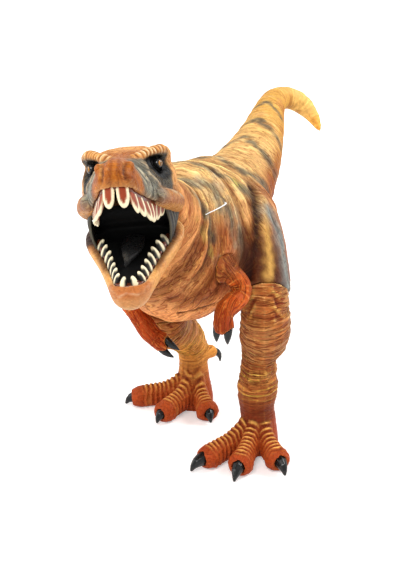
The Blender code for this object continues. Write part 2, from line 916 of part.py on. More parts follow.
def build_skull(mount, material):
    """Upper head with brows, cheeks, eye sockets, palate hollow and hinge notch."""
    bm = bmesh.new()
    add_loft(bm, refine(skull_stations(), 3), X_AXIS, 24, SKULL_POWER, -Y_AXIS)
    for side in (-1, 1):
        for shares, radius in ((BROW_SHARES, BROW_RADIUS), (CHEEK_SHARES, CHEEK_RADIUS)):
            ridge = [
                (head_point(side * out, fore, up), thick * radius, thick * radius)
                for out, fore, up, thick in shares
            ]
            add_loft(bm, refine(ridge, 3), Z_AXIS, 10)
        out, fore, up = NOSTRIL_SHARES
        radii = (NOSTRIL_RADIUS, NOSTRIL_RADIUS, NOSTRIL_RADIUS)
        add_ball(bm, head_point(side * out, fore, up), radii)
    skull = make_object("skull", bm, material, mount)
    blend_skin(skull, HEAD_VOXEL, HEAD_KEEP_SHARE)

    bm = bmesh.new()
    add_half_space(bm, Vector((0, NECK_JOINT_SETBACK - SEAT_GAP, 0)), Y_AXIS)
    cut(skull, make_cutter("skull_trim", bm, mount))

    bm = bmesh.new()
    profile = (
        (-SPIGOT_LENGTH, SPIGOT_RADIUS),
        (SPIGOT_LENGTH, SPIGOT_RADIUS),
    )
    add_turned(bm, profile, Vector((0, NECK_JOINT_SETBACK, NECK_JOINT_RISE)), Y_AXIS, 24)
    boolean(skull, make_cutter("spigot", bm, mount), "UNION", "Add spigot")

    bm = bmesh.new()
    rows = UPPER_ARCH.rows(LIP_WALL, MOUTH_REAR_SHARE, BARREL_HALF_WIDTH + HINGE_GAP)
    sections = [(-fore * HEAD_LENGTH, half, -HEAD_CROWN, PALATE_RISE) for fore, half in rows]
    add_channel(bm, sections)
    cut(skull, make_cutter("mouth_hollow", bm, mount))

    bm = bmesh.new()
    half = BARREL_HALF_WIDTH + HINGE_GAP
    radius = BARREL_RADIUS + HINGE_GAP
    add_turned(bm, ((-half, radius), (half, radius)), Vector((0, 0, 0)), X_AXIS, 24)
    cut(skull, make_cutter("hinge_notch", bm, mount))

    bm = bmesh.new()
    half = BARREL_HALF_WIDTH + PIN_OVERHANG + SEAT_GAP
    radius = PIN_RADIUS + SEAT_GAP
    add_turned(bm, ((-half, radius), (half, radius)), Vector((0, 0, 0)), X_AXIS, 12)
    cut(skull, make_cutter("pin_bore", bm, mount))
    return skull


def cut_jaw_room(skull, hinge):
    """Trim the underside of the cheeks to the space of the open jaw."""
    rear = HINGE_GAP - JAW_SHARES[0][0] * JAW_LENGTH
    front = -JAW_ROOM_SHARE * JAW_LENGTH
    high = JAW_ROOM_RISE_SHARE * JAW_DEPTH + HINGE_GAP
    wide = HEAD_HALF_WIDTH + CUT_MARGIN
    bm = bmesh.new()
    add_channel(bm, ((rear, wide, -HEAD_CROWN, high), (front, wide, -HEAD_CROWN, high)))
    cut(skull, make_cutter("jaw_room", bm, hinge))


def build_eyes(mount, skull, material):
    """Glassy ball eyes, each in a round socket under its brow."""
    for side, name in ((1, "left_eye"), (-1, "right_eye")):
        out, fore, up = EYE_SHARES
        centre = head_point(side * out, fore, up)
        bm = bmesh.new()
        add_ball(bm, centre, (EYE_RADIUS, EYE_RADIUS, EYE_RADIUS), 14)
        make_object(name, bm, material, mount)
        bm = bmesh.new()
        grown = EYE_RADIUS + SEAT_GAP
        add_ball(bm, centre, (grown, grown, grown), 14)
        cut(skull, make_cutter(name + "_socket", bm, mount))


def build_palate(mount, material):
    """Dark lining pressed against the roof of the mouth."""
    high = PALATE_RISE - SEAT_GAP
    low = high - LINING_THICKNESS
    rows = UPPER_ARCH.rows(LIP_WALL + SEAT_GAP, PALATE_REAR_SHARE, BARREL_HALF_WIDTH)
    bm = bmesh.new()
    add_channel(bm, [(-fore * HEAD_LENGTH, half, low, high) for fore, half in rows])
    return make_object("palate_lining", bm, material, mount)


def lip_height(point):
    """Height of the upper lip line at a point of the arch."""
    return read_share(SKULL_SHARES, -point.y / HEAD_LENGTH, 4) * HEAD_CROWN


def rim_height(point):
    """Height of the lower jaw's rim at a point of the arch."""
    return read_share(JAW_SHARES, -point.y / JAW_LENGTH, 3) * JAW_DEPTH


def build_tooth_row(name, arch, count, sizes, shares, root, sign, material, parent):
    """A gum band round a jaw with its teeth; sizes are their length and radius, sign is -1 above."""
    full_length, radius = sizes
    inset = LIP_WALL + SEAT_GAP + GUM_THICKNESS / 2
    bm = bmesh.new()
    add_gum(bm, arch.outline(inset), root, -sign * GUM_HEIGHT)
    row = make_object(name, bm, material, parent)

    bm = bmesh.new()
    places = resample(arch.outline(inset), 2 * count + 1)
    for index in range(count):
        place = places[2 * index + 1]
        along = (places[2 * index + 2] - places[2 * index]).normalized()
        from_front = abs(2 * index + 1 - count) // 2
        length = shares[min(from_front, len(shares) - 1)] * full_length
        base = place + Z_AXIS * (root(place) - sign * 0.5 * GUM_HEIGHT)
        backward = Y_AXIS * (0.12 * length)
        tip = place + Z_AXIS * (root(place) + sign * length) + backward
        add_tooth(bm, base, tip, along, radius)
    boolean(row, make_cutter(name + "_crowns", bm, parent), "UNION", "Add crowns")
    return row


def build_jaw(hinge, material):
    """Lower jaw with its trough and the barrel that turns between the cheeks."""
    bm = bmesh.new()
    add_loft(bm, refine(jaw_stations(), 3), X_AXIS, 20, SKULL_POWER, -Y_AXIS)
    half = BARREL_HALF_WIDTH - LIP_WALL
    root = [
        (Vector((0, -fore * JAW_LENGTH, height * JAW_DEPTH)), half, thick * JAW_DEPTH)
        for fore, height, thick in JAW_ROOT_SHARES
    ]
    add_loft(bm, root, X_AXIS, 16, MOUTH_POWER, -Y_AXIS)
    jaw = make_object("lower_jaw", bm, material, hinge)
    blend_skin(jaw, HEAD_VOXEL, JAW_KEEP_SHARE)

    bm = bmesh.new()
    profile = ((-BARREL_HALF_WIDTH, BARREL_RADIUS), (BARREL_HALF_WIDTH, BARREL_RADIUS))
    add_turned(bm, profile, Vector((0, 0, 0)), X_AXIS, 24)
    boolean(jaw, make_cutter("barrel", bm, hinge), "UNION", "Add barrel")

    bm = bmesh.new()
    half = BARREL_HALF_WIDTH + CUT_MARGIN
    radius = PIN_RADIUS + SEAT_GAP
    add_turned(bm, ((-half, radius), (half, radius)), Vector((0, 0, 0)), X_AXIS, 12)
    cut(jaw, make_cutter("barrel_bore", bm, hinge))

    bm = bmesh.new()
    rows = LOWER_ARCH.rows(LIP_WALL, TROUGH_REAR_SHARE)
    sections = [
        (-fore * JAW_LENGTH, half, trough_floor(fore), JAW_DEPTH) for fore, half in rows
    ]
    add_channel(bm, sections)
    cut(jaw, make_cutter("mouth_trough", bm, hinge))
    return jaw


def trough_floor(fore):
    """Height of the floor inside the lower jaw."""
    return read_share(JAW_SHARES, fore, 3) * JAW_DEPTH - JAW_TROUGH_DEPTH


def build_jaw_lining(hinge, material):
    """Dark lining on the floor of the lower jaw."""
    sections = []
    for fore, half in LOWER_ARCH.rows(LIP_WALL + SEAT_GAP, JAW_LINING_REAR_SHARE):
        low = trough_floor(fore) + SEAT_GAP
        sections.append((-fore * JAW_LENGTH, half, low, low + LINING_THICKNESS))
    bm = bmesh.new()
    add_channel(bm, sections)
    return make_object("jaw_lining", bm, material, hinge)


def build_tongue(hinge, material):
    """Pointed tongue lying on the lining, with its tip raised."""
    bm = bmesh.new()
    stations = []
    for fore, width, lift, thick in TONGUE_SHARES:
        bed = trough_floor(fore) + LINING_THICKNESS + 2 * SEAT_GAP
        centre = Vector((0, -fore * JAW_LENGTH, bed + lift * TONGUE_THICKNESS))
        stations.append((centre, width * TONGUE_HALF_WIDTH, thick * TONGUE_THICKNESS))
    add_loft(bm, stations, X_AXIS, 12)
    return make_object("tongue", bm, material, hinge)


def build_pin(mount, material):
    """Pin through the cheeks and the jaw's barrel."""
    bm = bmesh.new()
    half = BARREL_HALF_WIDTH + PIN_OVERHANG
    add_turned(bm, ((-half, PIN_RADIUS), (half, PIN_RADIUS)), Vector((0, 0, 0)), X_AXIS, 12)
    return make_object("jaw_pin", bm, material, mount)


def build_plug(name, origin, axis, sizes, first, second, parent, material):
    """A double-flanged plug and its sockets in the two pieces that it joins."""
    bm = bmesh.new()
    add_turned(bm, plug_profile(*sizes, 0.0), origin, axis, 16)
    make_object(name, bm, material, parent)
    bm = bmesh.new()
    add_turned(bm, plug_profile(*sizes, SEAT_GAP), origin, axis, 16)
    socket = make_cutter(name + "_socket", bm, parent)
    cut(first, socket)
    cut(second, socket)


def build_claw(name, path, radius, carrier, parent, material):
    """A horn claw and the socket that it seats in."""
    bm = bmesh.new()
    add_claw(bm, path, radius)
    claw = make_object(name, bm, material, parent)
    claw.matrix_parent_inverse = carrier.matrix_parent_inverse
    bm = bmesh.new()
    add_claw(bm, path, radius, SEAT_GAP)
    socket = make_cutter(name + "_socket", bm, parent)
    socket.matrix_parent_inverse = carrier.matrix_parent_inverse
    cut(carrier, socket)


def build_leg(limb, trunk, figure, skin, horn, plastic):
    """One leg below its seam, with foot, four claws and the plug to the thigh."""
    name = limb["name"]
    seam = leg_point(*limb["seam"])
    normal = limb["normal"]
    swivel = make_empty(name + "_leg_swivel", Matrix.Translation(seam), figure)
    centre = foot_centre(limb["shank"])

    bm = bmesh.new()
    add_loft(bm, refine(leg_stations(limb["shank"]), 3), X_AXIS, 16)
    toes = list(zip(limb["toe_names"], limb["toe_angles"], limb["toe_shares"]))
    for _, heading, share in toes:
        hint = heading_vector(heading).cross(Z_AXIS)
        reach = share * TOE_REACH
        pads = toe_stations(centre, heading, limb["pad_share"] * reach)
        add_loft(bm, refine(pads, 3), hint, 12)
        add_loft(bm, refine(tendon_stations(centre, heading, reach), 3), hint, 8)
    root, end = hallux_path(limb["shank"], limb["hallux"])
    hallux = (
        (root, 1.2 * HALLUX_RADIUS, 1.2 * HALLUX_RADIUS),
        (root.lerp(end, 0.5), HALLUX_RADIUS, HALLUX_RADIUS),
        (root.lerp(end, 0.85), 0.95 * HALLUX_RADIUS, 0.95 * HALLUX_RADIUS),
        (end, 0.6 * HALLUX_RADIUS, 0.6 * HALLUX_RADIUS),
    )
    add_loft(bm, hallux, heading_vector(limb["hallux"]).cross(Z_AXIS), 10)
    leg = make_object(name + "_leg", bm, skin, swivel)
    leg.matrix_parent_inverse = Matrix.Translation(-seam)
    blend_skin(leg, LIMB_VOXEL, LEG_KEEP_SHARE, 2)

    bm = bmesh.new()
    add_half_space(bm, seam - normal * SEAT_GAP, normal)
    cut(leg, make_cutter(name + "_leg_trim", bm, figure))
    bm = bmesh.new()
    add_half_space(bm, Vector((seam.x, seam.y, 0)), -Z_AXIS)
    cut(leg, make_cutter(name + "_sole_trim", bm, figure))
    bm = bmesh.new()
    radius = SEAM_MARGIN_SHARE * LEG_HALF_DEPTH
    add_turned(bm, ((0, radius), (LEG_HEIGHT / 2, radius)), seam, -normal, 24)
    cut(trunk, make_cutter(name + "_thigh_trim", bm, figure))

    sizes = (HIP_PLUG_RADIUS, HIP_PLUG_FLANGE, HIP_PLUG_REACH)
    build_plug(name + "_leg_plug", seam, normal, sizes, trunk, leg, figure, plastic)

    for toe, heading, share in toes:
        path = toe_claw_path(centre, heading, share * TOE_REACH)
        build_claw(f"{name}_{toe}_toe_claw", path, TOE_CLAW_RADIUS, leg, swivel, horn)
    path = hallux_claw_path(limb["shank"], limb["hallux"])
    build_claw(name + "_hallux_claw", path, HALLUX_CLAW_RADIUS, leg, swivel, horn)


def build_arm(limb, trunk, figure, skin, horn, plastic):
    """One short arm with its two claws and the plug to the chest."""
    name = limb["name"]
    shoulder = shoulder_point(limb["shoulder"])
    outward = X_AXIS * limb["sign"]
    joint = shoulder - outward * (ARM_SINK_SHARE * ARM_RADIUS)
    swivel = make_empty(name + "_arm_swivel", Matrix.Translation(joint), figure)
    stations = arm_stations(shoulder, limb["arm"])

    bm = bmesh.new()
    add_loft(bm, refine(stations, 3), Y_AXIS, 12)
    pocket = ARM_POCKET_SHARE * ARM_RADIUS
    dome = [
        (out * ARM_RADIUS, width * (pocket - SEAT_GAP)) for out, width in SHOULDER_DOME_SHARES
    ]
    add_turned(bm, dome, joint, outward, 20)
    wrist = stations[-4][0]
    end = stations[-2][0]
    for side in (-1, 1):
        root, arch, tip = finger_claw_path(stations, side)
        ahead = (tip - root).normalized()
        radius = FINGER_RADIUS
        stub = (
            (wrist.lerp(root, 0.3), 0.8 * radius, 0.8 * radius),
            (wrist.lerp(root, 0.8), radius, radius),
            (root + ahead * (0.4 * radius), 0.9 * radius, 0.9 * radius),
        )
        add_loft(bm, stub, Y_AXIS, 10)
    arm = make_object(name + "_arm", bm, skin, swivel)
    arm.matrix_parent_inverse = Matrix.Translation(-joint)
    blend_skin(arm, LIMB_VOXEL, ARM_KEEP_SHARE, 2)

    bm = bmesh.new()
    add_turned(bm, ((0, pocket), (ARM_REACH, pocket)), joint + outward * SEAT_GAP, -outward, 20)
    cut(arm, make_cutter(name + "_arm_trim", bm, figure))
    bm = bmesh.new()
    add_turned(bm, ((0, pocket), (ARM_REACH, pocket)), joint, outward, 20)
    cut(trunk, make_cutter(name + "_shoulder_pocket", bm, figure))

    sizes = (ARM_PLUG_RADIUS, ARM_PLUG_FLANGE, ARM_PLUG_REACH)
    build_plug(name + "_arm_plug", joint, outward, sizes, trunk, arm, figure, plastic)
    for side, finger in ((-1, "inner"), (1, "outer")):
        path = finger_claw_path(stations, side)
        build_claw(f"{name}_{finger}_finger_claw", path, FINGER_CLAW_RADIUS, arm, swivel, horn)


def stand_on_origin(figure):
    """Bring the middle of the figure's footprint over the origin, soles at Z = 0."""
    bpy.context.view_layer.update()
    graph = bpy.context.evaluated_depsgraph_get()
    low = Vector((math.inf, math.inf, math.inf))
    high = -low
    for item in bpy.context.scene.objects:
        if item.type != "MESH" or item.hide_render:
            continue
        solid = item.evaluated_get(graph)
        for vertex in solid.data.vertices:
            place = solid.matrix_world @ vertex.co
            low = Vector(map(min, low, place))
            high = Vector(map(max, high, place))
    figure.location = Vector((-(low.x + high.x) / 2, -(low.y + high.y) / 2, -low.z))


LIMBS = (
    {
        "name": "left",
        "sign": 1,
        "shank": LEFT_SHANK_SHARES,
        "seam": LEFT_SEAM_SHARES,
        "normal": LEFT_SEAM_NORMAL,
        "toe_angles": LEFT_TOE_ANGLES,
        "toe_shares": LEFT_TOE_REACH_SHARES,
        "pad_share": LEFT_PAD_SHARE,
        "toe_names": ("inner", "middle", "outer"),
        "hallux": LEFT_HALLUX_ANGLE,
        "arm": LEFT_ARM_SHARES,
        "shoulder": LEFT_SHOULDER_SHARES,
    },
    {
        "name": "right",
        "sign": -1,
        "shank": RIGHT_SHANK_SHARES,
        "seam": RIGHT_SEAM_SHARES,
        "normal": RIGHT_SEAM_NORMAL,
        "toe_angles": RIGHT_TOE_ANGLES,
        "toe_shares": RIGHT_TOE_REACH_SHARES,
        "pad_share": RIGHT_PAD_SHARE,
        "toe_names": ("outer", "middle", "inner"),
        "hallux": RIGHT_HALLUX_ANGLE,
        "arm": RIGHT_ARM_SHARES,
        "shoulder": RIGHT_SHOULDER_SHARES,
    },
)

UPPER_ARCH = Arch(
    SKULL_SHARES, HEAD_HALF_WIDTH, HEAD_LENGTH, UPPER_ARCH_FRONT_SHARE, UPPER_ARCH_REAR_SHARE
)
LOWER_ARCH = Arch(
    JAW_SHARES, LOWER_ARCH_WIDTH_SHARE * JAW_HALF_WIDTH, JAW_LENGTH, LOWER_ARCH_FRONT_SHARE,
    LOWER_ARCH_REAR_SHARE
)


def build():
    """Make the whole figure."""
    clear_scene()
    skin = make_material("orange vinyl", (0.62, 0.25, 0.07), 0.5)
    dark = make_material("mouth black", (0.02, 0.02, 0.022), 0.35)
    grey = make_material("tongue grey", (0.06, 0.06, 0.065), 0.4)
    ivory = make_material("tooth ivory", (0.80, 0.74, 0.58), 0.3)
    horn = make_material("claw black", (0.012, 0.014, 0.016), 0.22)
    amber = make_material("eye amber", (0.75, 0.45, 0.05), 0.12)
    plastic = make_material("joint plastic", (0.25, 0.11, 0.04), 0.5)
    grey_plastic = make_material("pin plastic", (0.10, 0.10, 0.10), 0.4)

    figure = make_empty("figure", Matrix.Identity(4))
    mount = make_empty("head_mount", head_matrix(), figure)
    hinge = make_empty("jaw_hinge", Matrix.Rotation(JAW_GAPE, 4, "X"), mount)

    trunk = build_trunk(figure, skin)
    cut_neck(trunk, mount)
    skull = build_skull(mount, skin)
    build_eyes(mount, skull, amber)
    build_palate(mount, dark)
    sizes = (UPPER_TOOTH_LENGTH, UPPER_TOOTH_RADIUS)
    build_tooth_row("upper_teeth", UPPER_ARCH, UPPER_TEETH, sizes, UPPER_TOOTH_SHARES,
                    lip_height, -1, ivory, mount)
    build_jaw(hinge, skin)
    cut_jaw_room(skull, hinge)
    build_jaw_lining(hinge, dark)
    build_tongue(hinge, grey)
    sizes = (LOWER_TOOTH_LENGTH, LOWER_TOOTH_RADIUS)
    build_tooth_row("lower_teeth", LOWER_ARCH, LOWER_TEETH, sizes, LOWER_TOOTH_SHARES,
                    rim_height, 1, ivory, hinge)
    build_pin(mount, grey_plastic)
    for limb in LIMBS:
        build_leg(limb, trunk, figure, skin, horn, plastic)
        build_arm(limb, trunk, figure, skin, horn, plastic)
    stand_on_origin(figure)


build()
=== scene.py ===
"""Studio view of the open-mouthed toy dinosaur: sculpted skin, painted stripes and black claws.

Places and lengths are in millimetres, and each noise call ends with its seed.
"""
import json
import math

import bmesh
import bpy
import numpy as np
from mathutils import Matrix, Vector

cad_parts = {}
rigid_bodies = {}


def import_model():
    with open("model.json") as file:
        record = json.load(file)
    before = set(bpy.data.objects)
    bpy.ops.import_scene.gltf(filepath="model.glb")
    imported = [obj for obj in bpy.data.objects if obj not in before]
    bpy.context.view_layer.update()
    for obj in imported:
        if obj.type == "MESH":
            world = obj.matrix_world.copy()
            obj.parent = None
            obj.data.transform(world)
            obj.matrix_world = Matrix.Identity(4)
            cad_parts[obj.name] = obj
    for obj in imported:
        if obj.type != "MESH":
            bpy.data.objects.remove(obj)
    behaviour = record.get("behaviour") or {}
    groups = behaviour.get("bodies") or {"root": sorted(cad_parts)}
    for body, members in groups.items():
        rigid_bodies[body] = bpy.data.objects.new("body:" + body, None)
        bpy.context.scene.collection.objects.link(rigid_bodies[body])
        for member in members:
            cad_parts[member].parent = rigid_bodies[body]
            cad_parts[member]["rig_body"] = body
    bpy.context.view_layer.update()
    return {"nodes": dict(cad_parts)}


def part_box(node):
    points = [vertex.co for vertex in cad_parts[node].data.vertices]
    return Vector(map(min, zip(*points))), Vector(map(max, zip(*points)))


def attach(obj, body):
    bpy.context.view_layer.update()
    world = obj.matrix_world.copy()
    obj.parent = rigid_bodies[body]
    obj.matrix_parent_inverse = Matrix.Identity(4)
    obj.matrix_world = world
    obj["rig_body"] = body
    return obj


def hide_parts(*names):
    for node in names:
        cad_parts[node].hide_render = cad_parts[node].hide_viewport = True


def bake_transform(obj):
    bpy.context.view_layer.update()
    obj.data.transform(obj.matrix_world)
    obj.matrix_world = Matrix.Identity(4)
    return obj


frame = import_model()
NODES = frame["nodes"]
MM = 0.001

# Placement of the head and the jaw: columns are side, back and up
HEAD_ORIGIN = np.array((2.66, -85.73, 141.7))
HEAD_AXES = np.array((
    (0.901, -0.3792, -0.2105), (0.4241, 0.8722, 0.2439), (0.0912, -0.309, 0.9467),
))
JAW_AXES = np.array((
    (0.901, -0.4321, 0.0375), (0.4241, 0.8594, -0.2855), (0.0912, 0.2732, 0.9576),
))

SPINE = (
    (10.9, 131.1, 136.4), (8, 133.4, 140.5), (3.7, 135.5, 145.6), (-3.2, 135.8, 151.6),
    (-10, 129.8, 155.6), (-13.3, 117.3, 155.3), (-10.2, 99.1, 150.8), (-5, 77, 143.4),
    (-1, 52.1, 134.5), (0.6, 24.9, 124.9), (-1.7, 5.1, 118.4), (-1.7, -8.9, 113.1),
    (-1.7, -28.9, 111.3), (-1.7, -50.1, 117.8), (-1.7, -64.9, 130.7), (-2, -75, 142),
)


def rgb(*parts):
    """A linear colour."""
    return np.array(parts)


# Paints
BACK = rgb(0.88, 0.54, 0.2)
FLANK = rgb(0.41, 0.122, 0.018)
BELLY = rgb(0.27, 0.044, 0.004)
CHEST_SHADE = rgb(0.36, 0.085, 0.012)
NECK = rgb(0.52, 0.2, 0.055)
TAIL = rgb(0.72, 0.38, 0.065)
TIP = rgb(0.8, 0.47, 0.13)
STRIPE = rgb(0.105, 0.1, 0.07)
LIME = rgb(0.56, 0.48, 0.1)
CREAM = rgb(0.9, 0.78, 0.5)
UMBER = rgb(0.085, 0.02, 0.007)
SLATE = rgb(0.055, 0.06, 0.045)
STEEL = rgb(0.32, 0.3, 0.21)
BLACK = rgb(0.004, 0.004, 0.004)
SNOUT = rgb(0.5, 0.15, 0.012)
CHEEK = rgb(0.48, 0.19, 0.045)
TAN = rgb(0.72, 0.42, 0.16)
IVORY = rgb(0.82, 0.72, 0.48)
HEART = rgb(0.25, 0.034, 0.006)
GUM = rgb(0.16, 0.03, 0.009)
SHANK = rgb(0.66, 0.23, 0.05)
SHIN = rgb(0.17, 0.026, 0.006)
TOE = rgb(0.5, 0.085, 0.012)
ARM = rgb(0.7, 0.13, 0.012)
GOLD = rgb(0.72, 0.48, 0.07)
TAIL_END = rgb(0.74, 0.31, 0.03)
TAIL_BLOTCH = rgb(0.62, 0.24, 0.065)
BREAST = rgb(0.86, 0.33, 0.1)
PAINTED_SHADOW = rgb(0.06, 0.013, 0.004)
HAUNCH = rgb(0.62, 0.34, 0.08)
DUSTY_BLUE = rgb(0.21, 0.25, 0.24)
SNOUT_HIGHLIGHT = rgb(0.76, 0.37, 0.1)
NAPE = rgb(0.74, 0.36, 0.11)
BONE = rgb(0.5, 0.38, 0.24)
BROW = rgb(0.66, 0.29, 0.07)
BROW_DARK = rgb(0.2, 0.05, 0.015)
LIP = rgb(0.56, 0.27, 0.09)
CHEEK_DARK = rgb(0.3, 0.085, 0.02)
CHEEK_ROLL = rgb(0.74, 0.38, 0.11)
JAW = rgb(0.74, 0.36, 0.1)
JAW_BLOTCH = rgb(0.62, 0.22, 0.055)
JAW_UNDER = rgb(0.52, 0.2, 0.07)
JAW_CORNER = rgb(0.035, 0.02, 0.015)
JAW_REAR = rgb(0.09, 0.035, 0.03)
CHIN = rgb(0.56, 0.25, 0.09)
CHIN_RIM = rgb(0.4, 0.11, 0.025)
SHIN_GLOW = rgb(1, 0.42, 0.08)
TOE_GROOVE = rgb(0.2, 0.03, 0.006)
TOE_RIB = rgb(0.8, 0.42, 0.09)
TOE_CUFF = rgb(0.78, 0.36, 0.08)
ARM_ROOT = rgb(0.26, 0.075, 0.018)
ARM_CREST = rgb(0.78, 0.32, 0.07)
IRIS = rgb(0.4, 0.17, 0.02)
MOUTH_CORNER = rgb(0.012, 0.009, 0.007)
TONGUE_HIGHLIGHT = rgb(0.13, 0.12, 0.1)


# Numbers

def ramp(low, high, value):
    """0 at low, 1 at high, and smooth between."""
    blend = np.clip((value - low) / (high - low), 0, 1)
    return blend * blend * (3 - 2 * blend)


def bell(value, width):
    """1 at zero, falling off over width."""
    return np.exp(-(value / width) ** 2)


def cell_value(cells, seed):
    """Repeatable value in 0..1 for whole-number cells."""
    x, y, z = (cells[:, axis].astype(np.int64) for axis in range(3))
    mixed = (x * 374761393 + y * 668265263 + z * 1440662683 + seed * 974634777) & 0xFFFFFFFF
    mixed = ((mixed ^ (mixed >> 13)) * 1274126177) & 0xFFFFFFFF
    return ((mixed ^ (mixed >> 16)) & 0xFFFFFF) / 0xFFFFFF


def noise(places, seed):
    """Smooth value noise in 0..1 at places, whose cells are one unit wide."""
    cells = np.floor(places)
    blend = places - cells
    blend = blend * blend * (3 - 2 * blend)
    total = np.zeros(len(places))
    for corner in range(8):
        step = np.array((corner & 1, corner >> 1 & 1, corner >> 2 & 1))
        weight = np.prod(np.where(step, blend, 1 - blend), axis=1)
        total += weight * cell_value(cells + step, seed)
    return total


def fractal(places, seed):
    """Noise with two finer noises on it, about 0..1."""
    scales = (1, 2, 4)
    layers = [noise(places * scale, seed + index) / scale for index, scale in enumerate(scales)]
    return sum(layers) / sum(1 / scale for scale in scales)


def ridges(places, seed):
    """Creased folds: 1 on narrow crests, 0 in wide valleys."""
    return 1 - np.abs(2 * noise(places, seed) - 1)


def crease(places, cell, seed):
    """Creased folds of a cell's size, from -0.5 to 0.5."""
    return ridges(places / cell, seed) - 0.5


def sway(places, cell, seed):
    """Soft unevenness of a cell's size, about -0.5 to 0.5."""
    return fractal(places / cell, seed) - 0.5


def jitter(places, cell, reach, seed):
    """Shifts that roughen the edges of painted shapes."""
    shifts = [noise(places / cell, seed + axis) - 0.5 for axis in range(3)]
    return reach * np.stack(shifts, axis=1)


def mix(first, second, share):
    """Blend colours by a share for each point."""
    return first + (second - first) * np.clip(share, 0, 1)[:, None]


def distances(points):
    """Distance along a run of points, at each of them."""
    return np.concatenate(([0], np.cumsum(np.linalg.norm(np.diff(points, axis=0), axis=1))))


def points_at(points, runs, steps):
    """Places at the given distances along a run of points."""
    return np.stack([np.interp(steps, runs, column) for column in points.T], axis=-1)


# How softly a path's points share each place: less at a high power
PATH_SOFTNESS, PATH_POWER = 4, 4


def along(places, points, count):
    """Distance along an eased path, distance from it and direction away, for each place."""
    points = np.array(points, float)
    runs = distances(points)
    steps = np.linspace(0, runs[-1], count)
    path = points_at(points, runs, steps)
    for _ in range(max(1, count // 12)):
        path[1:-1] = 0.5 * path[1:-1] + 0.25 * (path[:-2] + path[2:])
    weights = np.zeros((len(places), count))
    for index in range(count):
        gap = ((places - path[index]) ** 2).sum(axis=1)
        weights[:, index] = 1 / (gap + PATH_SOFTNESS) ** PATH_POWER
    weights /= weights.sum(axis=1)[:, None]
    away = places - weights @ path
    return weights @ steps, np.linalg.norm(away, axis=1), away


def nearness(places, points):
    """Distance from each place to a run of straight segments."""
    points = np.array(points, float)
    best = np.full(len(places), np.inf)
    for start, end in zip(points, points[1:]):
        span = end - start
        share = np.clip(((places - start) @ span) / (span @ span), 0, 1)
        gap = np.linalg.norm(places - start - share[:, None] * span, axis=1)
        best = np.minimum(best, gap)
    return best


def stroke(places, points, width):
    """1 on a run of straight segments, falling off over width."""
    return bell(nearness(places, points), width)


class Coats:
    """Colours of a piece's vertices, painted over each other by shares."""

    def __init__(self, colour):
        self.colours = colour

    def add(self, colour, share):
        """Cover with a colour."""
        self.colours = mix(self.colours, colour, share)

    def scale(self, factors, share):
        """Cover with what is there, times a factor for each part of the colour."""
        self.add(self.colours * factors, share)

    def lighten(self, gain, cream, share):
        """Cover with what is there, brightened and with some cream in it."""
        self.add(self.colours * gain + CREAM * cream, share)


# Meshes

def add_object(name, data):
    """A new object in the scene."""
    item = bpy.data.objects.new(name, data)
    bpy.context.scene.collection.objects.link(item)
    return item


def mesh_object(bm, name):
    """A smooth-shaded object made of a bmesh."""
    mesh = bpy.data.meshes.new(name)
    bm.to_mesh(mesh)
    bm.free()
    mesh.shade_smooth()
    return add_object(name, mesh)


def bridge(bm, first, second):
    """Faces between two closed loops of vertices."""
    for corners in zip(first, first[1:] + first[:1], second[1:] + second[:1], second):
        bm.faces.new(corners)


def fetch(rows, key, width, kind=np.float32):
    """One property of all rows of a mesh's data."""
    values = np.zeros(len(rows) * width, kind)
    rows.foreach_get(key, values)
    return values.reshape(-1, width)


def read_places(item):
    """Vertex places."""
    return fetch(item.data.vertices, "co", 3).astype(float) / MM


def write_places(item, places):
    """Set the vertex places."""
    item.data.vertices.foreach_set("co", (places * MM).astype(np.float32).ravel())
    item.data.update()


def read_normals(item):
    """Outward direction at each vertex."""
    return fetch(item.data.vertex_normals, "vector", 3).astype(float)


def raise_skin(item, places, normals, height):
    """Move each vertex outwards by its height."""
    write_places(item, places + normals * height[:, None])


def relax(edges, values, rounds):
    """Average each value with its neighbours', again and again."""
    first, second = edges.T
    count = len(values)
    degree = np.bincount(first, minlength=count) + np.bincount(second, minlength=count)
    degree = np.maximum(degree, 1)
    values = values.copy()
    for _ in range(rounds):
        for axis in range(values.shape[1]):
            column = values[:, axis]
            total = np.bincount(first, column[second], count)
            total = total + np.bincount(second, column[first], count)
            values[:, axis] = 0.5 * column + 0.5 * total / degree
    return values


def relief_of(item, rounds):
    """How far each vertex stands proud of its smoothed surroundings."""
    places = read_places(item)
    smooth = relax(fetch(item.data.edges, "vertices", 2, np.int32), places, rounds)
    return ((places - smooth) * read_normals(item)).sum(axis=1)


def dense_copy(name, node, voxel, rounds):
    """A finely meshed copy of a CAD node for sculpting."""
    item = add_object(name, NODES[node].data.copy())
    item.data.materials.clear()
    remesh = item.modifiers.new("Dense", "REMESH")
    remesh.mode = "VOXEL"
    remesh.voxel_size = voxel * MM
    smooth = item.modifiers.new("Soften", "SMOOTH")
    smooth.iterations = rounds
    bpy.context.view_layer.update()
    graph = bpy.context.evaluated_depsgraph_get()
    mesh = bpy.data.meshes.new_from_object(item.evaluated_get(graph))
    mesh.name = name
    item.modifiers.clear()
    item.data = mesh
    mesh.shade_smooth()
    return item


def set_colour(item, colours, crease_wash_and_shading=1):
    """Store painted colours on the vertices, with how strongly the creases show in relief, painted
    shade and painted highlight.
    """
    layer = item.data.attributes.new("paint", "FLOAT_COLOR", "POINT")
    full = np.ones((len(colours), 4), np.float32)
    full[:, :3] = np.clip(colours, 0, 1)
    full[:, 3] = np.clip(crease_wash_and_shading, 0, 1)
    layer.data.foreach_set("color", full.ravel())


def set_flow(item, flow):
    """Store the skin's own coordinates, which follow its folds."""
    layer = item.data.attributes.new("flow", "FLOAT_VECTOR", "POINT")
    layer.data.foreach_set("vector", flow.astype(np.float32).ravel())


def set_look(item, look):
    """Give an object one of the materials in LOOKS."""
    item.data.materials.clear()
    item.data.materials.append(LOOKS[look])


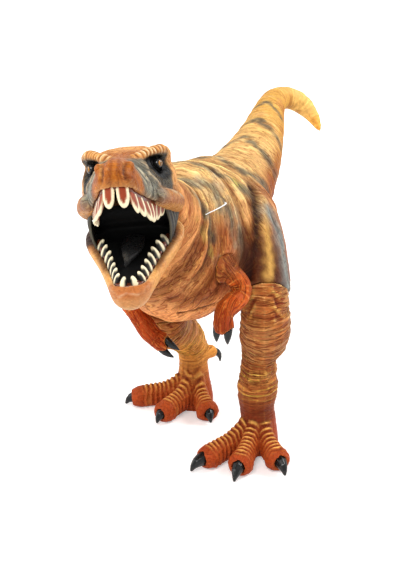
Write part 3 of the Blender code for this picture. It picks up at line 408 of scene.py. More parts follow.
def place(item, body, look, node=None):
    """Give a piece its body and material, and hide the CAD node it stands for."""
    set_look(item, look)
    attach(item, body)
    if node:
        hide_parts(node)


def line_with(item, inside, look):
    """Give the faces whose corners are all inside a second material."""
    corners = fetch(item.data.loops, "vertex_index", 1, np.int32).ravel()
    starts = fetch(item.data.polygons, "loop_start", 1, np.int32).ravel()
    item.data.materials.append(LOOKS[look])
    share = np.minimum.reduceat(inside[corners].astype(np.int32), starts)
    item.data.polygons.foreach_set("material_index", share)
    item.data.update()


# Materials

def new_material(name):
    """A node material, its tree and its Principled shader."""
    material = bpy.data.materials.new(name)
    material.use_nodes = True
    return material, material.node_tree, material.node_tree.nodes["Principled BSDF"]


def feed(tree, socket, value):
    """Link a socket to another one, or set its value."""
    if isinstance(value, bpy.types.NodeSocket):
        tree.links.new(value, socket)
    else:
        socket.default_value = value


def add_node(tree, kind, operation=None, **inputs):
    """A shader node with the given inputs, as sockets or values."""
    node = tree.nodes.new("ShaderNode" + kind)
    if operation:
        node.operation = operation
    for key, value in inputs.items():
        feed(tree, node.inputs[key.replace("_", " ")], value)
    return node


def maths(tree, operation, *values, kind="Math"):
    """Result of a maths node, whose inputs are sockets or values."""
    node = add_node(tree, kind, operation)
    for socket, value in zip(node.inputs, values):
        feed(tree, socket, value)
    return node.outputs[0]


def blend_colours(tree, share, first, second):
    """Mix two colours by a share socket."""
    node = tree.nodes.new("ShaderNodeMix")
    node.data_type = "RGBA"
    for index, value in ((0, share), (6, first), (7, second)):
        feed(tree, node.inputs[index], value)
    return node.outputs[2]


def remap(tree, value, low, high, first=0, last=1):
    """Number rescaled from low..high to first..last, and held there."""
    node = add_node(tree, "MapRange", Value=value, From_Min=low, From_Max=high,
                    To_Min=first, To_Max=last)
    node.interpolation_type = "SMOOTHSTEP"
    return node.outputs["Result"]


def read_layer(tree, name):
    """Outputs of a layer that is stored on the vertices."""
    node = tree.nodes.new("ShaderNodeAttribute")
    node.attribute_name = name
    return node.outputs


def crease_lines(tree, flow, scale):
    """Noise, and how far it is from the middle value that draws its lines."""
    node = add_node(tree, "TexNoise", Vector=flow, Scale=scale, Detail=1, Roughness=0.4,
                    Distortion=0.25)
    level = node.outputs["Fac"]
    return level, maths(tree, "ABSOLUTE", maths(tree, "SUBTRACT", level, 0.5))


def mottling(tree, scale):
    """Fine noise in the object's own space."""
    spot = tree.nodes.new("ShaderNodeTexCoord").outputs["Object"]
    node = add_node(tree, "TexNoise", Vector=spot, Scale=scale, Detail=4, Roughness=0.6)
    return node.outputs["Fac"]


def set_base(tree, shader, colour, level):
    """The shader's colour, times a level."""
    tint = add_node(tree, "VectorMath", "SCALE", Scale=level)
    tree.links.new(colour, tint.inputs[0])
    tree.links.new(tint.outputs["Vector"], shader.inputs["Base Color"])


def set_gloss(shader, specular, coat, coat_roughness):
    """How strongly the surface and the clear coat on it reflect."""
    shader.inputs["Specular IOR Level"].default_value = specular
    shader.inputs["Coat Weight"].default_value = coat
    shader.inputs["Coat Roughness"].default_value = coat_roughness


def skin_material(name, roughness, strength, contrast, coat):
    """Painted vinyl, with creases along the flow: painted shade in the folds and a painted
    highlight on the crests, partly the toy's own wash and dry-brushed paint.
    """
    material, tree, shader = new_material(name)
    paint = read_layer(tree, "paint")
    flow = read_layer(tree, "flow")["Vector"]
    colour, crease_wash_and_shading = paint["Color"], paint["Alpha"]
    tall, coarse = crease_lines(tree, flow, 1)
    fine = crease_lines(tree, flow, 1.7)[1]
    groove = remap(tree, coarse, 0, 0.065)
    thread = remap(tree, fine, 0, 0.055, 1, 0)
    # Painted shade where the coarse noise is low and in the grooves (deep); painted highlight on
    # the fine crest threads (pale)
    shadow = maths(tree, "MULTIPLY", remap(tree, tall, 0.34, 0.54, 1, 0), 0.55)
    deep_tint = [1 - loss * contrast for loss in (0.55, 0.75, 0.8)]
    deep = maths(tree, "MULTIPLY", colour, deep_tint, kind="VectorMath")
    pale_tint = [gain * contrast for gain in (0.12, 0.075, 0.018)]
    pale = maths(tree, "MULTIPLY_ADD", colour, (1.15, 1.25, 1.15), pale_tint, kind="VectorMath")
    folded = maths(tree, "MAXIMUM", maths(tree, "SUBTRACT", 1, groove), shadow)
    shade = blend_colours(tree, maths(tree, "MULTIPLY", folded, crease_wash_and_shading), colour, deep)
    raised = maths(tree, "MULTIPLY", maths(tree, "MULTIPLY", thread, crease_wash_and_shading), 0.75)
    shade = blend_colours(tree, raised, shade, pale)
    set_base(tree, shader, shade, remap(tree, mottling(tree, 900), 0.3, 0.7, 0.9, 1.1))
    dull = remap(tree, groove, 0, 1, roughness + 0.15, roughness)
    tree.links.new(dull, shader.inputs["Roughness"])
    height = maths(tree, "ADD", groove, maths(tree, "MULTIPLY", thread, 0.7))
    height = maths(tree, "MULTIPLY", height, crease_wash_and_shading)
    relief = add_node(tree, "Bump", Strength=strength, Distance=0.0006, Height=height)
    tree.links.new(relief.outputs["Normal"], shader.inputs["Normal"])
    set_gloss(shader, 0.12, coat, 0.2)
    return material


def gloss_material(name, roughness, vary, coat):
    """Smooth painted plastic with a faint mottle, for horn, teeth, eyes and tongue."""
    material, tree, shader = new_material(name)
    mottle = mottling(tree, 700)
    level = remap(tree, mottle, 0.3, 0.7, 1 - vary, 1 + vary)
    set_base(tree, shader, read_layer(tree, "paint")["Color"], level)
    dull = remap(tree, mottle, 0.3, 0.7, roughness * 0.8, roughness * 1.2)
    tree.links.new(dull, shader.inputs["Roughness"])
    set_gloss(shader, 0.3, coat, 0.1)
    return material


def plain_material(name, colour, roughness):
    """One colour with fine mottling, for the linings, plugs and pins."""
    material, tree, shader = new_material(name)
    level = add_node(tree, "TexNoise", Scale=600, Detail=3).outputs["Fac"]
    dull = remap(tree, level, 0.3, 0.7, roughness - 0.1, roughness + 0.1)
    tree.links.new(dull, shader.inputs["Roughness"])
    tones = [(*(gain * part for part in colour), 1) for gain in (0.85, 1.15)]
    tree.links.new(blend_colours(tree, level, *tones), shader.inputs["Base Color"])
    shader.inputs["Specular IOR Level"].default_value = 0.25
    return material


LOOKS = {
    # name, roughness, strength of the relief, contrast, clear coat
    "skin": skin_material("skin paint", 0.55, 0.8, 0.85, 0),
    "limb": skin_material("limb paint", 0.52, 1, 1.2, 0),
    "head": skin_material("head paint", 0.46, 0.55, 0.8, 0.05),
    # name, roughness, variation, clear coat
    "horn": gloss_material("horn black", 0.24, 0.05, 0),
    "enamel": gloss_material("tooth enamel", 0.42, 0.08, 0),
    "glass": gloss_material("eye glass", 0.15, 0.02, 0.2),
    "gloss": gloss_material("mouth gloss", 0.32, 0.1, 0.2),
    "satin": gloss_material("mouth corner", 0.62, 0.15, 0),
    "wet": gloss_material("tongue gloss", 0.3, 0.03, 0.6),
    # name, colour, roughness
    "lining": plain_material("lining black", (0.003, 0.003, 0.003), 0.75),
    "plug": plain_material("joint brown", (0.2, 0.09, 0.035), 0.5),
    "jaw_pin": plain_material("pin grey", (0.08, 0.08, 0.08), 0.4),
    "tag": plain_material("tag white", (0.85, 0.85, 0.83), 0.45),
}


# Skin of the trunk

FURROW_LEFT = (
    (22, -4.8, 134.2), (27.2, -12.2, 128.3), (29.9, -17.4, 120.3), (31.3, -21.6, 112),
    (30.7, -24.8, 104.5), (29, -26.2, 93.4),
)
HAUNCH_LEFT = (
    (28, -6.7, 129.5), (31.5, -12.6, 121.7), (34.3, -16.8, 113.4), (36.6, -19.6, 104.8),
    (38, -22.5, 95.1),
)
FURROW_RIGHT = (
    (-27, -10, 128), (-30.5, -14, 120), (-32, -20, 110), (-29, -30, 98),
)
HAUNCH_RIGHT = (
    (-30, -6, 124), (-34, -8, 115), (-35, -12, 105), (-33, -20, 92),
)
BELLY_FOLD = (
    (8, -57, 88), (12, -52.5, 86.8), (17, -43.5, 87), (22, -36, 88),
)
BLUE_BAND = (
    (31, -7.5, 124), (35.5, -6, 116), (39.5, -7, 107), (42, -8.5, 98), (43.5, -9, 86),
)
STRIPES = (
    # run down one side, half width, side-to-side middle
    (((-12.5, 104, 158.5), (-8.5, 99, 155), (-5.5, 97.5, 150)), 1, -10.6),
    (((-9.5, 92.5, 157.8), (-2.5, 86.5, 155.5), (2, 84.5, 150.5)), 1.3, -8.6),
    (((-7, 71, 153), (0.7, 63.5, 151.5), (8, 60, 147.5), (11, 59.5, 140)), 1.7, -3.6),
    (((-4, 45, 147), (6.4, 36, 145.1), (14.8, 35, 139.6), (18, 36, 131)), 2.1, -0.4),
    (((-2, 6, 145.5), (6, 1, 144.5), (13, 2, 140.5), (18.5, 9, 135.7), (22, 16, 128)), 2.1, -1),
    (((-2, -24, 147.8), (6, -25, 146.3), (12.5, -23.5, 142.8), (20.3, -14.7, 136.7),
     (24.5, -7, 129)), 1.8, -1.4),
    (((-2, -44, 144.5), (6, -40, 143), (13.3, -35.5, 140.6), (21.7, -33.7, 130.6),
     (25.5, -32.1, 120.4), (27.4, -26.7, 108)), 3, -1.4),
    (((4, -52, 143), (12, -52, 140), (18.5, -50, 132), (21, -49.5, 122)), 1.9, -1.4),
)
JOINT_DISCS = (
    # centre, direction, radius of a joint's face
    ((33.2, -13, 85), (-0.42, 0.55, 0.72), 17.3),
    ((-15.7, -20.8, 66.3), (-0.25, 0.2, 0.95), 17.3),
    ((22.3, -41.3, 105.9), (1, 0, 0), 7.6),
    ((-26.1, -38.1, 98.8), (1, 0, 0), 7.6),
    ((-2, -75, 142.1), (-0.3792, 0.8722, -0.309), 17),
)


def off_joints(places, fade=1.6):
    """0 on the joints' faces, 1 where relief is free to stand."""
    best = np.full(len(places), 1e3)
    for centre, axis, radius in JOINT_DISCS:
        axis = np.array(axis) / np.linalg.norm(axis)
        away = places - centre
        off = away @ axis
        round_gap = np.linalg.norm(away - off[:, None] * axis, axis=1) - radius
        best = np.minimum(best, np.hypot(off, np.maximum(round_gap, 0)))
    return ramp(0, fade, best)


def sculpt_trunk(item, places, normals):
    """Folds, furrows and wrinkles of the body, and its paint."""
    run, reach, away = along(places, SPINE, 70)
    angle = np.arctan2(away[:, 0], away[:, 2] + 0.25 * away[:, 1])
    x, y, z = places.T
    tail, neck, flank = ramp(30, 90, y), ramp(-38, -60, y), ramp(28, -4, y)
    warp = 3 * sway(places, 14, 5)
    flow = np.stack((run + warp * 1.6, angle * np.maximum(reach, 6), reach), axis=1)
    folds = crease(flow, (7, 40, 60), 11)
    lines = crease(flow, (3, 20, 40), 21)
    fine = crease(flow, (1.9, 10, 30), 31)
    collar = crease(flow, (5, 44, 90), 41)
    height = folds * (0.35 + 1.55 * flank - 0.1 * tail)
    height = height + 0.5 * lines * (1 - 0.3 * tail) + 0.26 * fine
    height += 1.7 * neck * collar
    furrow = stroke(places, FURROW_LEFT, 2.6) + stroke(places, FURROW_RIGHT, 3.3)
    haunch = stroke(places, HAUNCH_LEFT, 2.6) + stroke(places, HAUNCH_RIGHT, 3)
    fold = stroke(places, BELLY_FOLD, 0.9)
    band = stroke(places, BLUE_BAND, 2.4)
    height += 1.1 * haunch - 2 * furrow - 1.2 * fold - 0.5 * band
    raise_skin(item, places, normals, np.clip(height, -2.2, 1.1) * off_joints(places))

    proud, wide = relief_of(item, 6), relief_of(item, 40)
    ragged = places + jitter(places, 3, 2.6, 61)
    lift = np.cos(angle) + 0.25 * sway(places, 9, 64)
    # Darker underneath and lighter on top: partly the toy's own paint and partly painted light from
    # above
    coat = Coats(BELLY)
    coat.add(FLANK, ramp(-0.65, 0.05, lift))
    coat.add(BACK, ramp(0.15, 0.75, lift))
    # Painted shade on the chest, below the neck
    coat.add(CHEST_SHADE, ramp(104, 90, z) * ramp(-12, -36, y) * 0.75)
    coat.add(TAIL, tail * 0.85)
    coat.add(TIP, ramp(112, 132, y))
    coat.add(TAIL_END, 0.9 * ramp(16, 3, run))
    coat.add(NECK, 0.85 * neck)
    patch = fractal(flow / (7, 16, 30), 73)
    coat.add(BELLY, 0.5 * ramp(0.5, 0.3, patch) * (1 - 0.6 * ramp(0.3, 0.8, lift)))
    pale = (0.12 + 0.38 * ramp(-0.2, 0.5, lift)) * ramp(0.52, 0.74, patch)
    coat.add(TAN, pale * (1 - 0.6 * neck))
    blotch = ramp(0.5, 0.66, fractal(flow / (9, 7, 30), 75))
    coat.add(TAIL_BLOTCH, 0.6 * tail * blotch * ramp(125, 105, y))

    uneven = 0.9 + noise(places / 4, 81)
    dark = np.zeros(len(places))
    for points, half, middle in STRIPES:
        folded = ragged.copy()
        folded[:, 0] = middle + np.abs(ragged[:, 0] - middle)
        edge = half * uneven
        dark = np.maximum(dark, ramp(edge * 1.9, edge * 0.2, nearness(folded, points)))
    dark *= 0.6 + 0.55 * ramp(0.25, 0.6, noise(flow / (2.5, 6, 20), 83))
    coat.add(STRIPE, 0.86 * np.minimum(dark, 1))
    olive = ramp(0.52, 0.7, fractal(places / 7, 91)) * ramp(5, -25, y) * ramp(96, 118, z)
    coat.add(STEEL, 0.45 * olive * (1 - neck))
    # Painted shade in the fold valleys and in the neck's collar creases
    valley = ramp(0.35, -0.3, folds) * flank
    coat.scale((0.42, 0.27, 0.2), 0.85 * valley)
    coat.scale((0.4, 0.25, 0.2), 0.75 * ramp(0, -0.35, collar) * neck)
    coat.add(BREAST, 0.85 * ramp(96, 86, z) * ramp(-28, -40, y))
    # Painted highlight on the fold crests, painted shade in the wrinkle grooves and painted
    # highlight on the fine crests
    coat.lighten(1.25, 0.06, 0.6 * ramp(0.16, 0.42, folds) * flank)
    coat.scale((0.42, 0.26, 0.2), 0.6 * ramp(-0.16, -0.4, lines) * flank)
    coat.scale((0.45, 0.3, 0.25), 0.45 * ramp(-0.18, -0.4, fine) * flank)
    coat.lighten(1.2, 0.05, 0.6 * ramp(0.25, 0.45, fine) * flank)
    # Painted shade in the flank furrows and the belly fold
    coat.add(UMBER * 0.7, 0.96 * stroke(ragged, FURROW_LEFT, 3.9))
    coat.add(UMBER * 1.4, 0.9 * stroke(ragged, FURROW_RIGHT, 5))
    coat.add(UMBER, fold)
    lime = bell(np.linalg.norm(ragged - (17.8, -15.6, 138.9), axis=1), 3.4) * (proud > 0)
    fleck = 0.3 * ramp(0.56, 0.68, noise(places / 4, 93))
    lime += fleck * stroke(places, ((19, -60, 131), (22, -50, 112)), 5)
    coat.add(LIME, lime)
    # Painted shadow low on the flanks, between the arms and the thighs
    low = ramp(126, 107, z) * ramp(-42, -24, y) * ramp(22, 28, np.abs(x + 1.7)) * ramp(-6, -14, y)
    coat.add(PAINTED_SHADOW, 0.92 * low)
    gold = 0.9 * stroke(ragged, HAUNCH_LEFT, 2.3)
    coat.add(HAUNCH, gold * (0.45 + 0.55 * ramp(88, 102, z)))
    slate = stroke(ragged, BLUE_BAND, 5)
    coat.add(DUSTY_BLUE, 0.95 * slate)
    # Painted shade in the hollows and painted highlight on the crests, brighter on top; partly the
    # toy's own wash and dry-brushing
    coat.scale((0.3, 0.16, 0.12), 0.85 * ramp(0.02, -0.24, proud) * (1 - 0.55 * tail))
    raised = ramp(0.06, 0.26, proud) * (1 - 0.8 * low)
    coat.lighten(1.2, (0.02 + 0.07 * ramp(-0.3, 0.5, lift))[:, None], 0.9 * raised)
    crease_wash_and_shading = (0.95 - 0.3 * tail) * (1 - 0.6 * ramp(112, 128, y)) * (1 - 0.75 * low)
    # Painted shade and highlight of the broad relief: hollows darker, raised parts lighter
    broad = (1 + 0.22 * np.clip(wide, -1.2, 0.5))[:, None]
    set_colour(item, coat.colours * broad, crease_wash_and_shading * (1 - 0.4 * slate))
    set_flow(item, flow / (1.9, 12, 40))


# Skin of the head

UPPER_ARCH = (
    # forward, half width, height of the lip
    (17.2, 14.1, -1), (25.1, 12.3, -1.3), (36.3, 10.2, -1.8), (47.5, 7.9, -0.5), (56.8, 4.9, 2),
    (58.3, 4.6, 2.7), (59.65, 3.8, 3.4), (60.65, 2.5, 3.8), (61.2, 0.9, 4.1),
)
LOWER_ARCH = (
    (14.4, 14.2, -3.9), (21.6, 12.1, -3.9), (31.2, 8.8, -3.3), (40.8, 6.3, -2.4), (49.2, 4.5, -0.3),
    (50.6, 4.2, 0), (51.7, 3.4, 0.3), (52.6, 2.2, 0.5), (53.1, 0.8, 0.6),
)
CREST = (
    (32, 3.5, 17.8), (30, 7, 18.4), (26, 10, 20.2), (21.5, 12.5, 21.4), (17, 14.6, 21.6),
    (12, 15.3, 21), (4, 14.5, 19),
)
BLUE = (
    (27, 9, 16), (36, 6.6, 15), (44, 6.2, 13.4), (49, 8, 10), (49, 9.8, 6.5), (46, 10.8, 3.5),
    (41, 11.8, 1.5),
)
LOBE = np.array((
    (34, 13.6, 1.6), (25, 16.4, 1.6), (15, 18.2, 1.2), (8, 18.4, 1.2),
))
EYE_RIB = (
    (31.7, 8.6, 15), (40.7, 10.3, 10.4), (34.4, 13.2, 7), (23.8, 16.8, 4.9), (10.5, 20, 2.1),
)
NOSTRIL = np.array((
    (60, 4.7, 13.6), (62.6, 4.2, 11.4), (63.6, 3.7, 9.2), (63, 4, 7.4),
))
LIP_WIDTH = 1.45


def to_local(places, axes):
    """Distance forward, sideways and up from the jaw hinge, along the head's or jaw's axes."""
    local = (places - HEAD_ORIGIN) @ axes
    return -local[:, 1], local[:, 0], local[:, 2]


def arch_value(forward, rows, column):
    """Half width or height of an arch at a distance forward."""
    return np.interp(forward, [row[0] for row in rows], [row[column] for row in rows])


def sculpt_skull(item, places, normals):
    """Brow lumps, eye sockets, nasal ridge, nostrils, cheek lobes, and their paint."""
    forward, side, up = to_local(places, HEAD_AXES)
    wide = np.abs(side)
    local = np.stack((forward, wide, up), axis=1)
    half = arch_value(forward, UPPER_ARCH, 1) + LIP_WIDTH
    inside = (up < 9.9) & (wide < half - 0.25) & (forward > -1) & (forward < 62)
    inside &= normals @ HEAD_AXES[:, 2] < 0.5
    inside |= (forward < 14) & (up < 7.5) & (wide < 16.2)

    crest_run, crest_gap, _ = along(local, CREST, 30)
    lump = 0.5 + 0.5 * np.cos(crest_run * math.tau / 2.3 + 4.5 * noise(places / 5, 201))
    lump = 0.5 + (lump - 0.5) * ramp(12, 17, forward)
    rough = 0.2 + 1.2 * noise(places / 3.5, 202)
    height = bell(crest_gap, 1.8) * (0.35 + 0.6 * lump * rough)
    hollow = np.sqrt(((forward - 22.5) / 9.5) ** 2 + ((up - 14) / 5.2) ** 2)
    socket = ramp(1.1, 0.62, hollow) * ramp(8.2, 10.2, wide)
    height -= 1.9 * socket
    height += 0.95 * stroke(local, LOBE, 2.6) - 0.9 * stroke(local, LOBE + (0, -0.6, 4.3), 1.1)
    middle = bell(side + 1.4, 1) * ramp(44, 52, forward) * ramp(5.5, 8, up)
    height += 0.35 * middle
    height += 0.45 * stroke(local, EYE_RIB, 0.8)
    height -= 0.8 * stroke(local, NOSTRIL, 1)
    height += 0.2 * stroke(local, NOSTRIL + (-0.6, 2.2, 0.8), 1.6)
    height += 0.35 * stroke(local, ((56.7, 7.4, 3.8), (62.4, 3.3, 5.4), (63.2, 0, 5.2)), 1)
    flow = (forward * 0.9 + wide * 0.5, up * 0.8 - forward * 0.25, side * 0.7)
    flow = np.stack(flow, axis=1) + 3 * sway(places, 7, 205)[:, None]
    smooth_snout = ramp(28, 44, forward) * ramp(12, 8, wide)
    height += 0.45 * crease(flow, (2.6, 5, 6), 211) * (1 - 0.6 * smooth_snout)
    height += 0.25 * crease(flow, (1.4, 2.8, 3.4), 212) * (1 - 0.6 * smooth_snout)
    height = np.clip(height, -2.3, 1.2) * (1 - inside) * off_joints(places)
    raise_skin(item, places, normals, height)

    proud = relief_of(item, 5)
    ragged = local + jitter(places, 2.4, 2.2, 261)
    rough_forward, rough_wide, rough_up = ragged.T
    coat = Coats(SNOUT)
    coat.add(SNOUT * (0.65, 0.55, 0.6), fractal(places / 6, 271))
    # Painted highlight and painted shade in upright streaks down the snout
    streaks = (side / 1.3 + 0.8 * noise(places / 3, 272), up * 0.07, forward * 0.05)
    drawn = ridges(np.stack(streaks, axis=1), 273)
    snout = ramp(40, 50, forward)
    coat.add(SNOUT_HIGHLIGHT, 0.65 * snout * ramp(0.36, 0.08, drawn))
    coat.add(SNOUT * (0.4, 0.26, 0.3), 0.65 * snout * ramp(0.7, 0.95, drawn))
    coat.add(NAPE, 0.85 * ramp(24, 12, forward))
    coat.add(CHEEK, ramp(10, 12, wide) * ramp(9, 5, up) * ramp(38, 30, forward))
    face = ramp(6, 8.2, rough_wide) * ramp(54, 46, forward) * ramp(29, 37, forward)
    face = 0.8 * (face * ramp(17, 14, up)) + 1.3 * stroke(ragged, BLUE, 3.4)
    face = np.clip(face, 0, 1)
    coat.add(STEEL * (0.62, 0.7, 0.8), 0.92 * face)
    bend = 1.6 * (noise(places / 4, 282) - 0.5)
    streaks = ((forward * 0.89 - up * 0.45 + bend) * 0.62, up * 0.1, side * 0)
    streak = ridges(np.stack(streaks, axis=1), 281)
    coat.add(SLATE, 0.9 * face * ramp(0.55, 0.8, streak))
    coat.add(CREAM * 0.85, 0.5 * face * ramp(0.28, 0.1, streak))
    shade = ramp(10.5, 13.5, wide) * ramp(4, 8, up) * ramp(34, 26, forward)
    coat.add(SLATE, 0.85 * (shade * ramp(12, 17, rough_forward)))
    rib_height = np.interp(rough_forward, (10.5, 23.8, 34.4, 40.7), (2.1, 4.9, 7, 10.4))
    under = ramp(0.2, 1.6, rough_up - rib_height) * ramp(7.8, 9.6, wide)
    under = under * ramp(41, 35, rough_forward) * ramp(12, 17, rough_forward)
    coat.add(SLATE * 0.45, 0.9 * under)
    coat.add(BONE, 0.75 * bell(nearness(ragged, EYE_RIB) - 0.4, 0.8))
    dim = 1.25 * ramp(1.35, 0.75, hollow + 0.25 * (noise(places / 3, 283) - 0.5))
    coat.add(BLACK * 1.5, dim * ramp(7.4, 9.4, wide))
    bony = ramp(2.6, 1.1, crest_gap) * (up > 15)
    coat.add(BROW, 0.9 * bony)
    # Painted highlight on the tops of the brow lumps and painted shade between them
    lump_highlight = 0.65 * bony * ramp(11, 15, forward) * ramp(0.6, 1, lump)
    coat.add(CREAM, lump_highlight * ramp(0.35, 0.7, noise(places / 2.6, 284)))
    coat.add(BROW_DARK, 0.8 * bony * ramp(0.4, 0.05, lump))
    coat.add(UMBER * 1.2, 0.9 * stroke(local, NOSTRIL, 1))
    coat.add(SNOUT * (0.55, 0.42, 0.5), 0.6 * stroke(local, NOSTRIL + (0, -1.9, 0), 1))
    lip = 0.7 * ramp(3.6, 0.6, up - arch_value(forward, UPPER_ARCH, 2)) * ramp(30, 40, forward)
    coat.add(LIP, 0.65 * lip)
    lobe = stroke(local, LOBE, 3.6)
    coat.add(CHEEK_DARK, 0.8 * lobe * ramp(3.6, 0.8, up))
    coat.add(CHEEK_ROLL, 0.9 * lobe * ramp(0.6, -1.2, up))
    # Painted shade in the creases and painted highlight on the crests, partly the toy's own wash
    # and dry-brushing
    coat.scale((0.28, 0.16, 0.14), 0.85 * ramp(0, -0.18, proud))
    coat.lighten(1.1, 0.14, 0.8 * ramp(0.05, 0.2, proud) * (1 - socket))
    crease_wash_and_shading = (0.85 - 0.35 * smooth_snout) * (1 - socket) * (1 - 0.5 * bony)
    set_colour(item, coat.colours, crease_wash_and_shading)
    set_flow(item, flow / 2.4)
    return inside


def sculpt_jaw(item, places, normals):
    """Soft chin, lip roll, dark inside and dark rear corners of the lower jaw."""
    forward, side, up = to_local(places, JAW_AXES)
    wide = np.abs(side)
    half = arch_value(forward, LOWER_ARCH, 1) + LIP_WIDTH
    rim = arch_value(forward, LOWER_ARCH, 2)
    inside = (wide < half + 0.3) & (forward > 4) & (up > rim - 6.2)
    inside &= normals @ JAW_AXES[:, 2] > -0.6
    barrel = (forward < 8) & (wide < 16.2) & (up < 2)
    inside |= barrel & (normals @ JAW_AXES[:, 1] < -0.2)
    inside &= forward < 53.4
    flow = np.stack((forward * 0.5, up + wide * 0.4, side * 0.5), axis=1)
    flow = flow + 2.5 * sway(places, 9, 305)[:, None]
    rear = ramp(22, 12, forward)
    outer_rear = np.where(side > 0, ramp(17.2, 16.2, wide), 1)
    plate = outer_rear * ramp(19, 15, forward) * ramp(-8.5, -5.5, up) * ramp(12, 14, wide)
    rib = 0.5 + 0.5 * np.cos(forward * math.tau / 3.1 + up * 0.15)
    height = 0.18 * crease(flow, (7, 2.6, 7), 311)
    height += 0.35 * rear * crease(flow, (5, 2.2, 5), 312) + plate * (0.12 * rib)
    raise_skin(item, places, normals, np.clip(height * (1 - inside), -1, 0.8))

    proud = relief_of(item, 5)
    coat = Coats(JAW)
    coat.add(CHIN, ramp(44, 58, forward))
    coat.add(JAW_BLOTCH, ramp(0.35, 0.7, fractal(places / 8, 371)) * 0.7)
    coat.add(CHIN_RIM, 0.75 * ramp(49, 52, forward) * ramp(-3.6, -0.8, up - rim))
    coat.add(JAW_UNDER, 0.6 * ramp(-7, -13, up) * ramp(50, 40, forward))
    coat.add(CREAM, 0.35 * ramp(-4, -8, up) * ramp(44, 54, forward))
    # Painted highlight on the crests and painted shade in the creases
    coat.add(CREAM, 0.3 * ramp(0.02, 0.15, proud))
    coat.scale((0.35, 0.22, 0.18), 0.7 * ramp(0, -0.15, proud))
    # Painted shade along the top of the jaw, beside the teeth
    top = ramp(-2.2, -0.4, up - rim) * ramp(half + 4, half + 1.6, wide) * ramp(44, 34, forward)
    coat.add(UMBER * 0.7, 0.9 * top)
    # Painted highlight along the outer lip roll
    roll = 0.45 * bell(wide - half - 5.2, 0.9) * ramp(-9, -3, up)
    coat.add(CREAM, roll * ramp(16, 22, forward) * ramp(46, 40, forward))
    coat.add(JAW_CORNER, plate)
    coat.add(JAW_REAR, 0.8 * rear * ramp(-4, -8, up) * ramp(6, 0, side))
    set_colour(item, coat.colours, 0.35 + 0.25 * rear)
    set_flow(item, flow / (3, 1.8, 3))
    return inside


# Skin of the limbs

TOES_LEFT = (
    # instep and claw root of each toe
    ((29.9, -12.5, 30), (16.2, -37.1, 5.4)), ((30.2, -13.5, 30), (32.2, -37.1, 5.4)),
    ((31.5, -12, 30), (46.3, -26.2, 5.4)),
)
TOES_RIGHT = (
    ((-20.5, 18.5, 30), (-43.3, 6.7, 5.4)), ((-19.5, 16.5, 30), (-24.9, -2.5, 5.4)),
    ((-18, 17.5, 30), (-6.6, 6.3, 5.4)),
)
LEG_LEFT = (
    (33.2, -13, 96), (34.7, -16, 77.8), (34.2, -14.7, 66.7), (30.9, -10.6, 55.2), (29.6, -10, 41.6),
    (29.7, -10.9, 30), (30.3, -10.3, 12), (29.9, -10.3, 0),
)
LEG_RIGHT = (
    (-15.7, -20.8, 72), (-18.8, -19.3, 66.3), (-20.2, -1.9, 53.5), (-22.1, 17.9, 39),
    (-21.7, 22.1, 28), (-20.3, 20.3, 10), (-19.3, 20, 0),
)
ARM_LEFT = (
    (18.5, -41.3, 105.9), (27.1, -40.9, 103), (31.9, -40.9, 98.7), (32.9, -43.3, 94.9),
    (31.7, -48.5, 92.9), (29.8, -53.3, 90.5), (29.3, -54.5, 86.2), (29.3, -54.3, 82.4),
    (29.3, -53.8, 80.2),
)
ARM_RIGHT = (
    (-22.3, -38.1, 98.8), (-30.9, -36.9, 94.9), (-32.1, -37.7, 88), (-25.6, -40.5, 81),
    (-18.9, -42.9, 74.8), (-13.6, -44.4, 69.5), (-9.3, -44.4, 66.1), (-5.7, -44.4, 64.2),
    (-3.3, -44.4, 62.8),
)


def limb_flow(places, axis, count, warp, arc, depth):
    """Run along a limb, direction away from its axis, and the flow of its wrinkles."""
    run, reach, away = along(places, axis, count)
    angle = np.arctan2(away[:, 0], -away[:, 1])
    return run, away, np.stack((run + warp, angle * arc, reach * depth), axis=1)


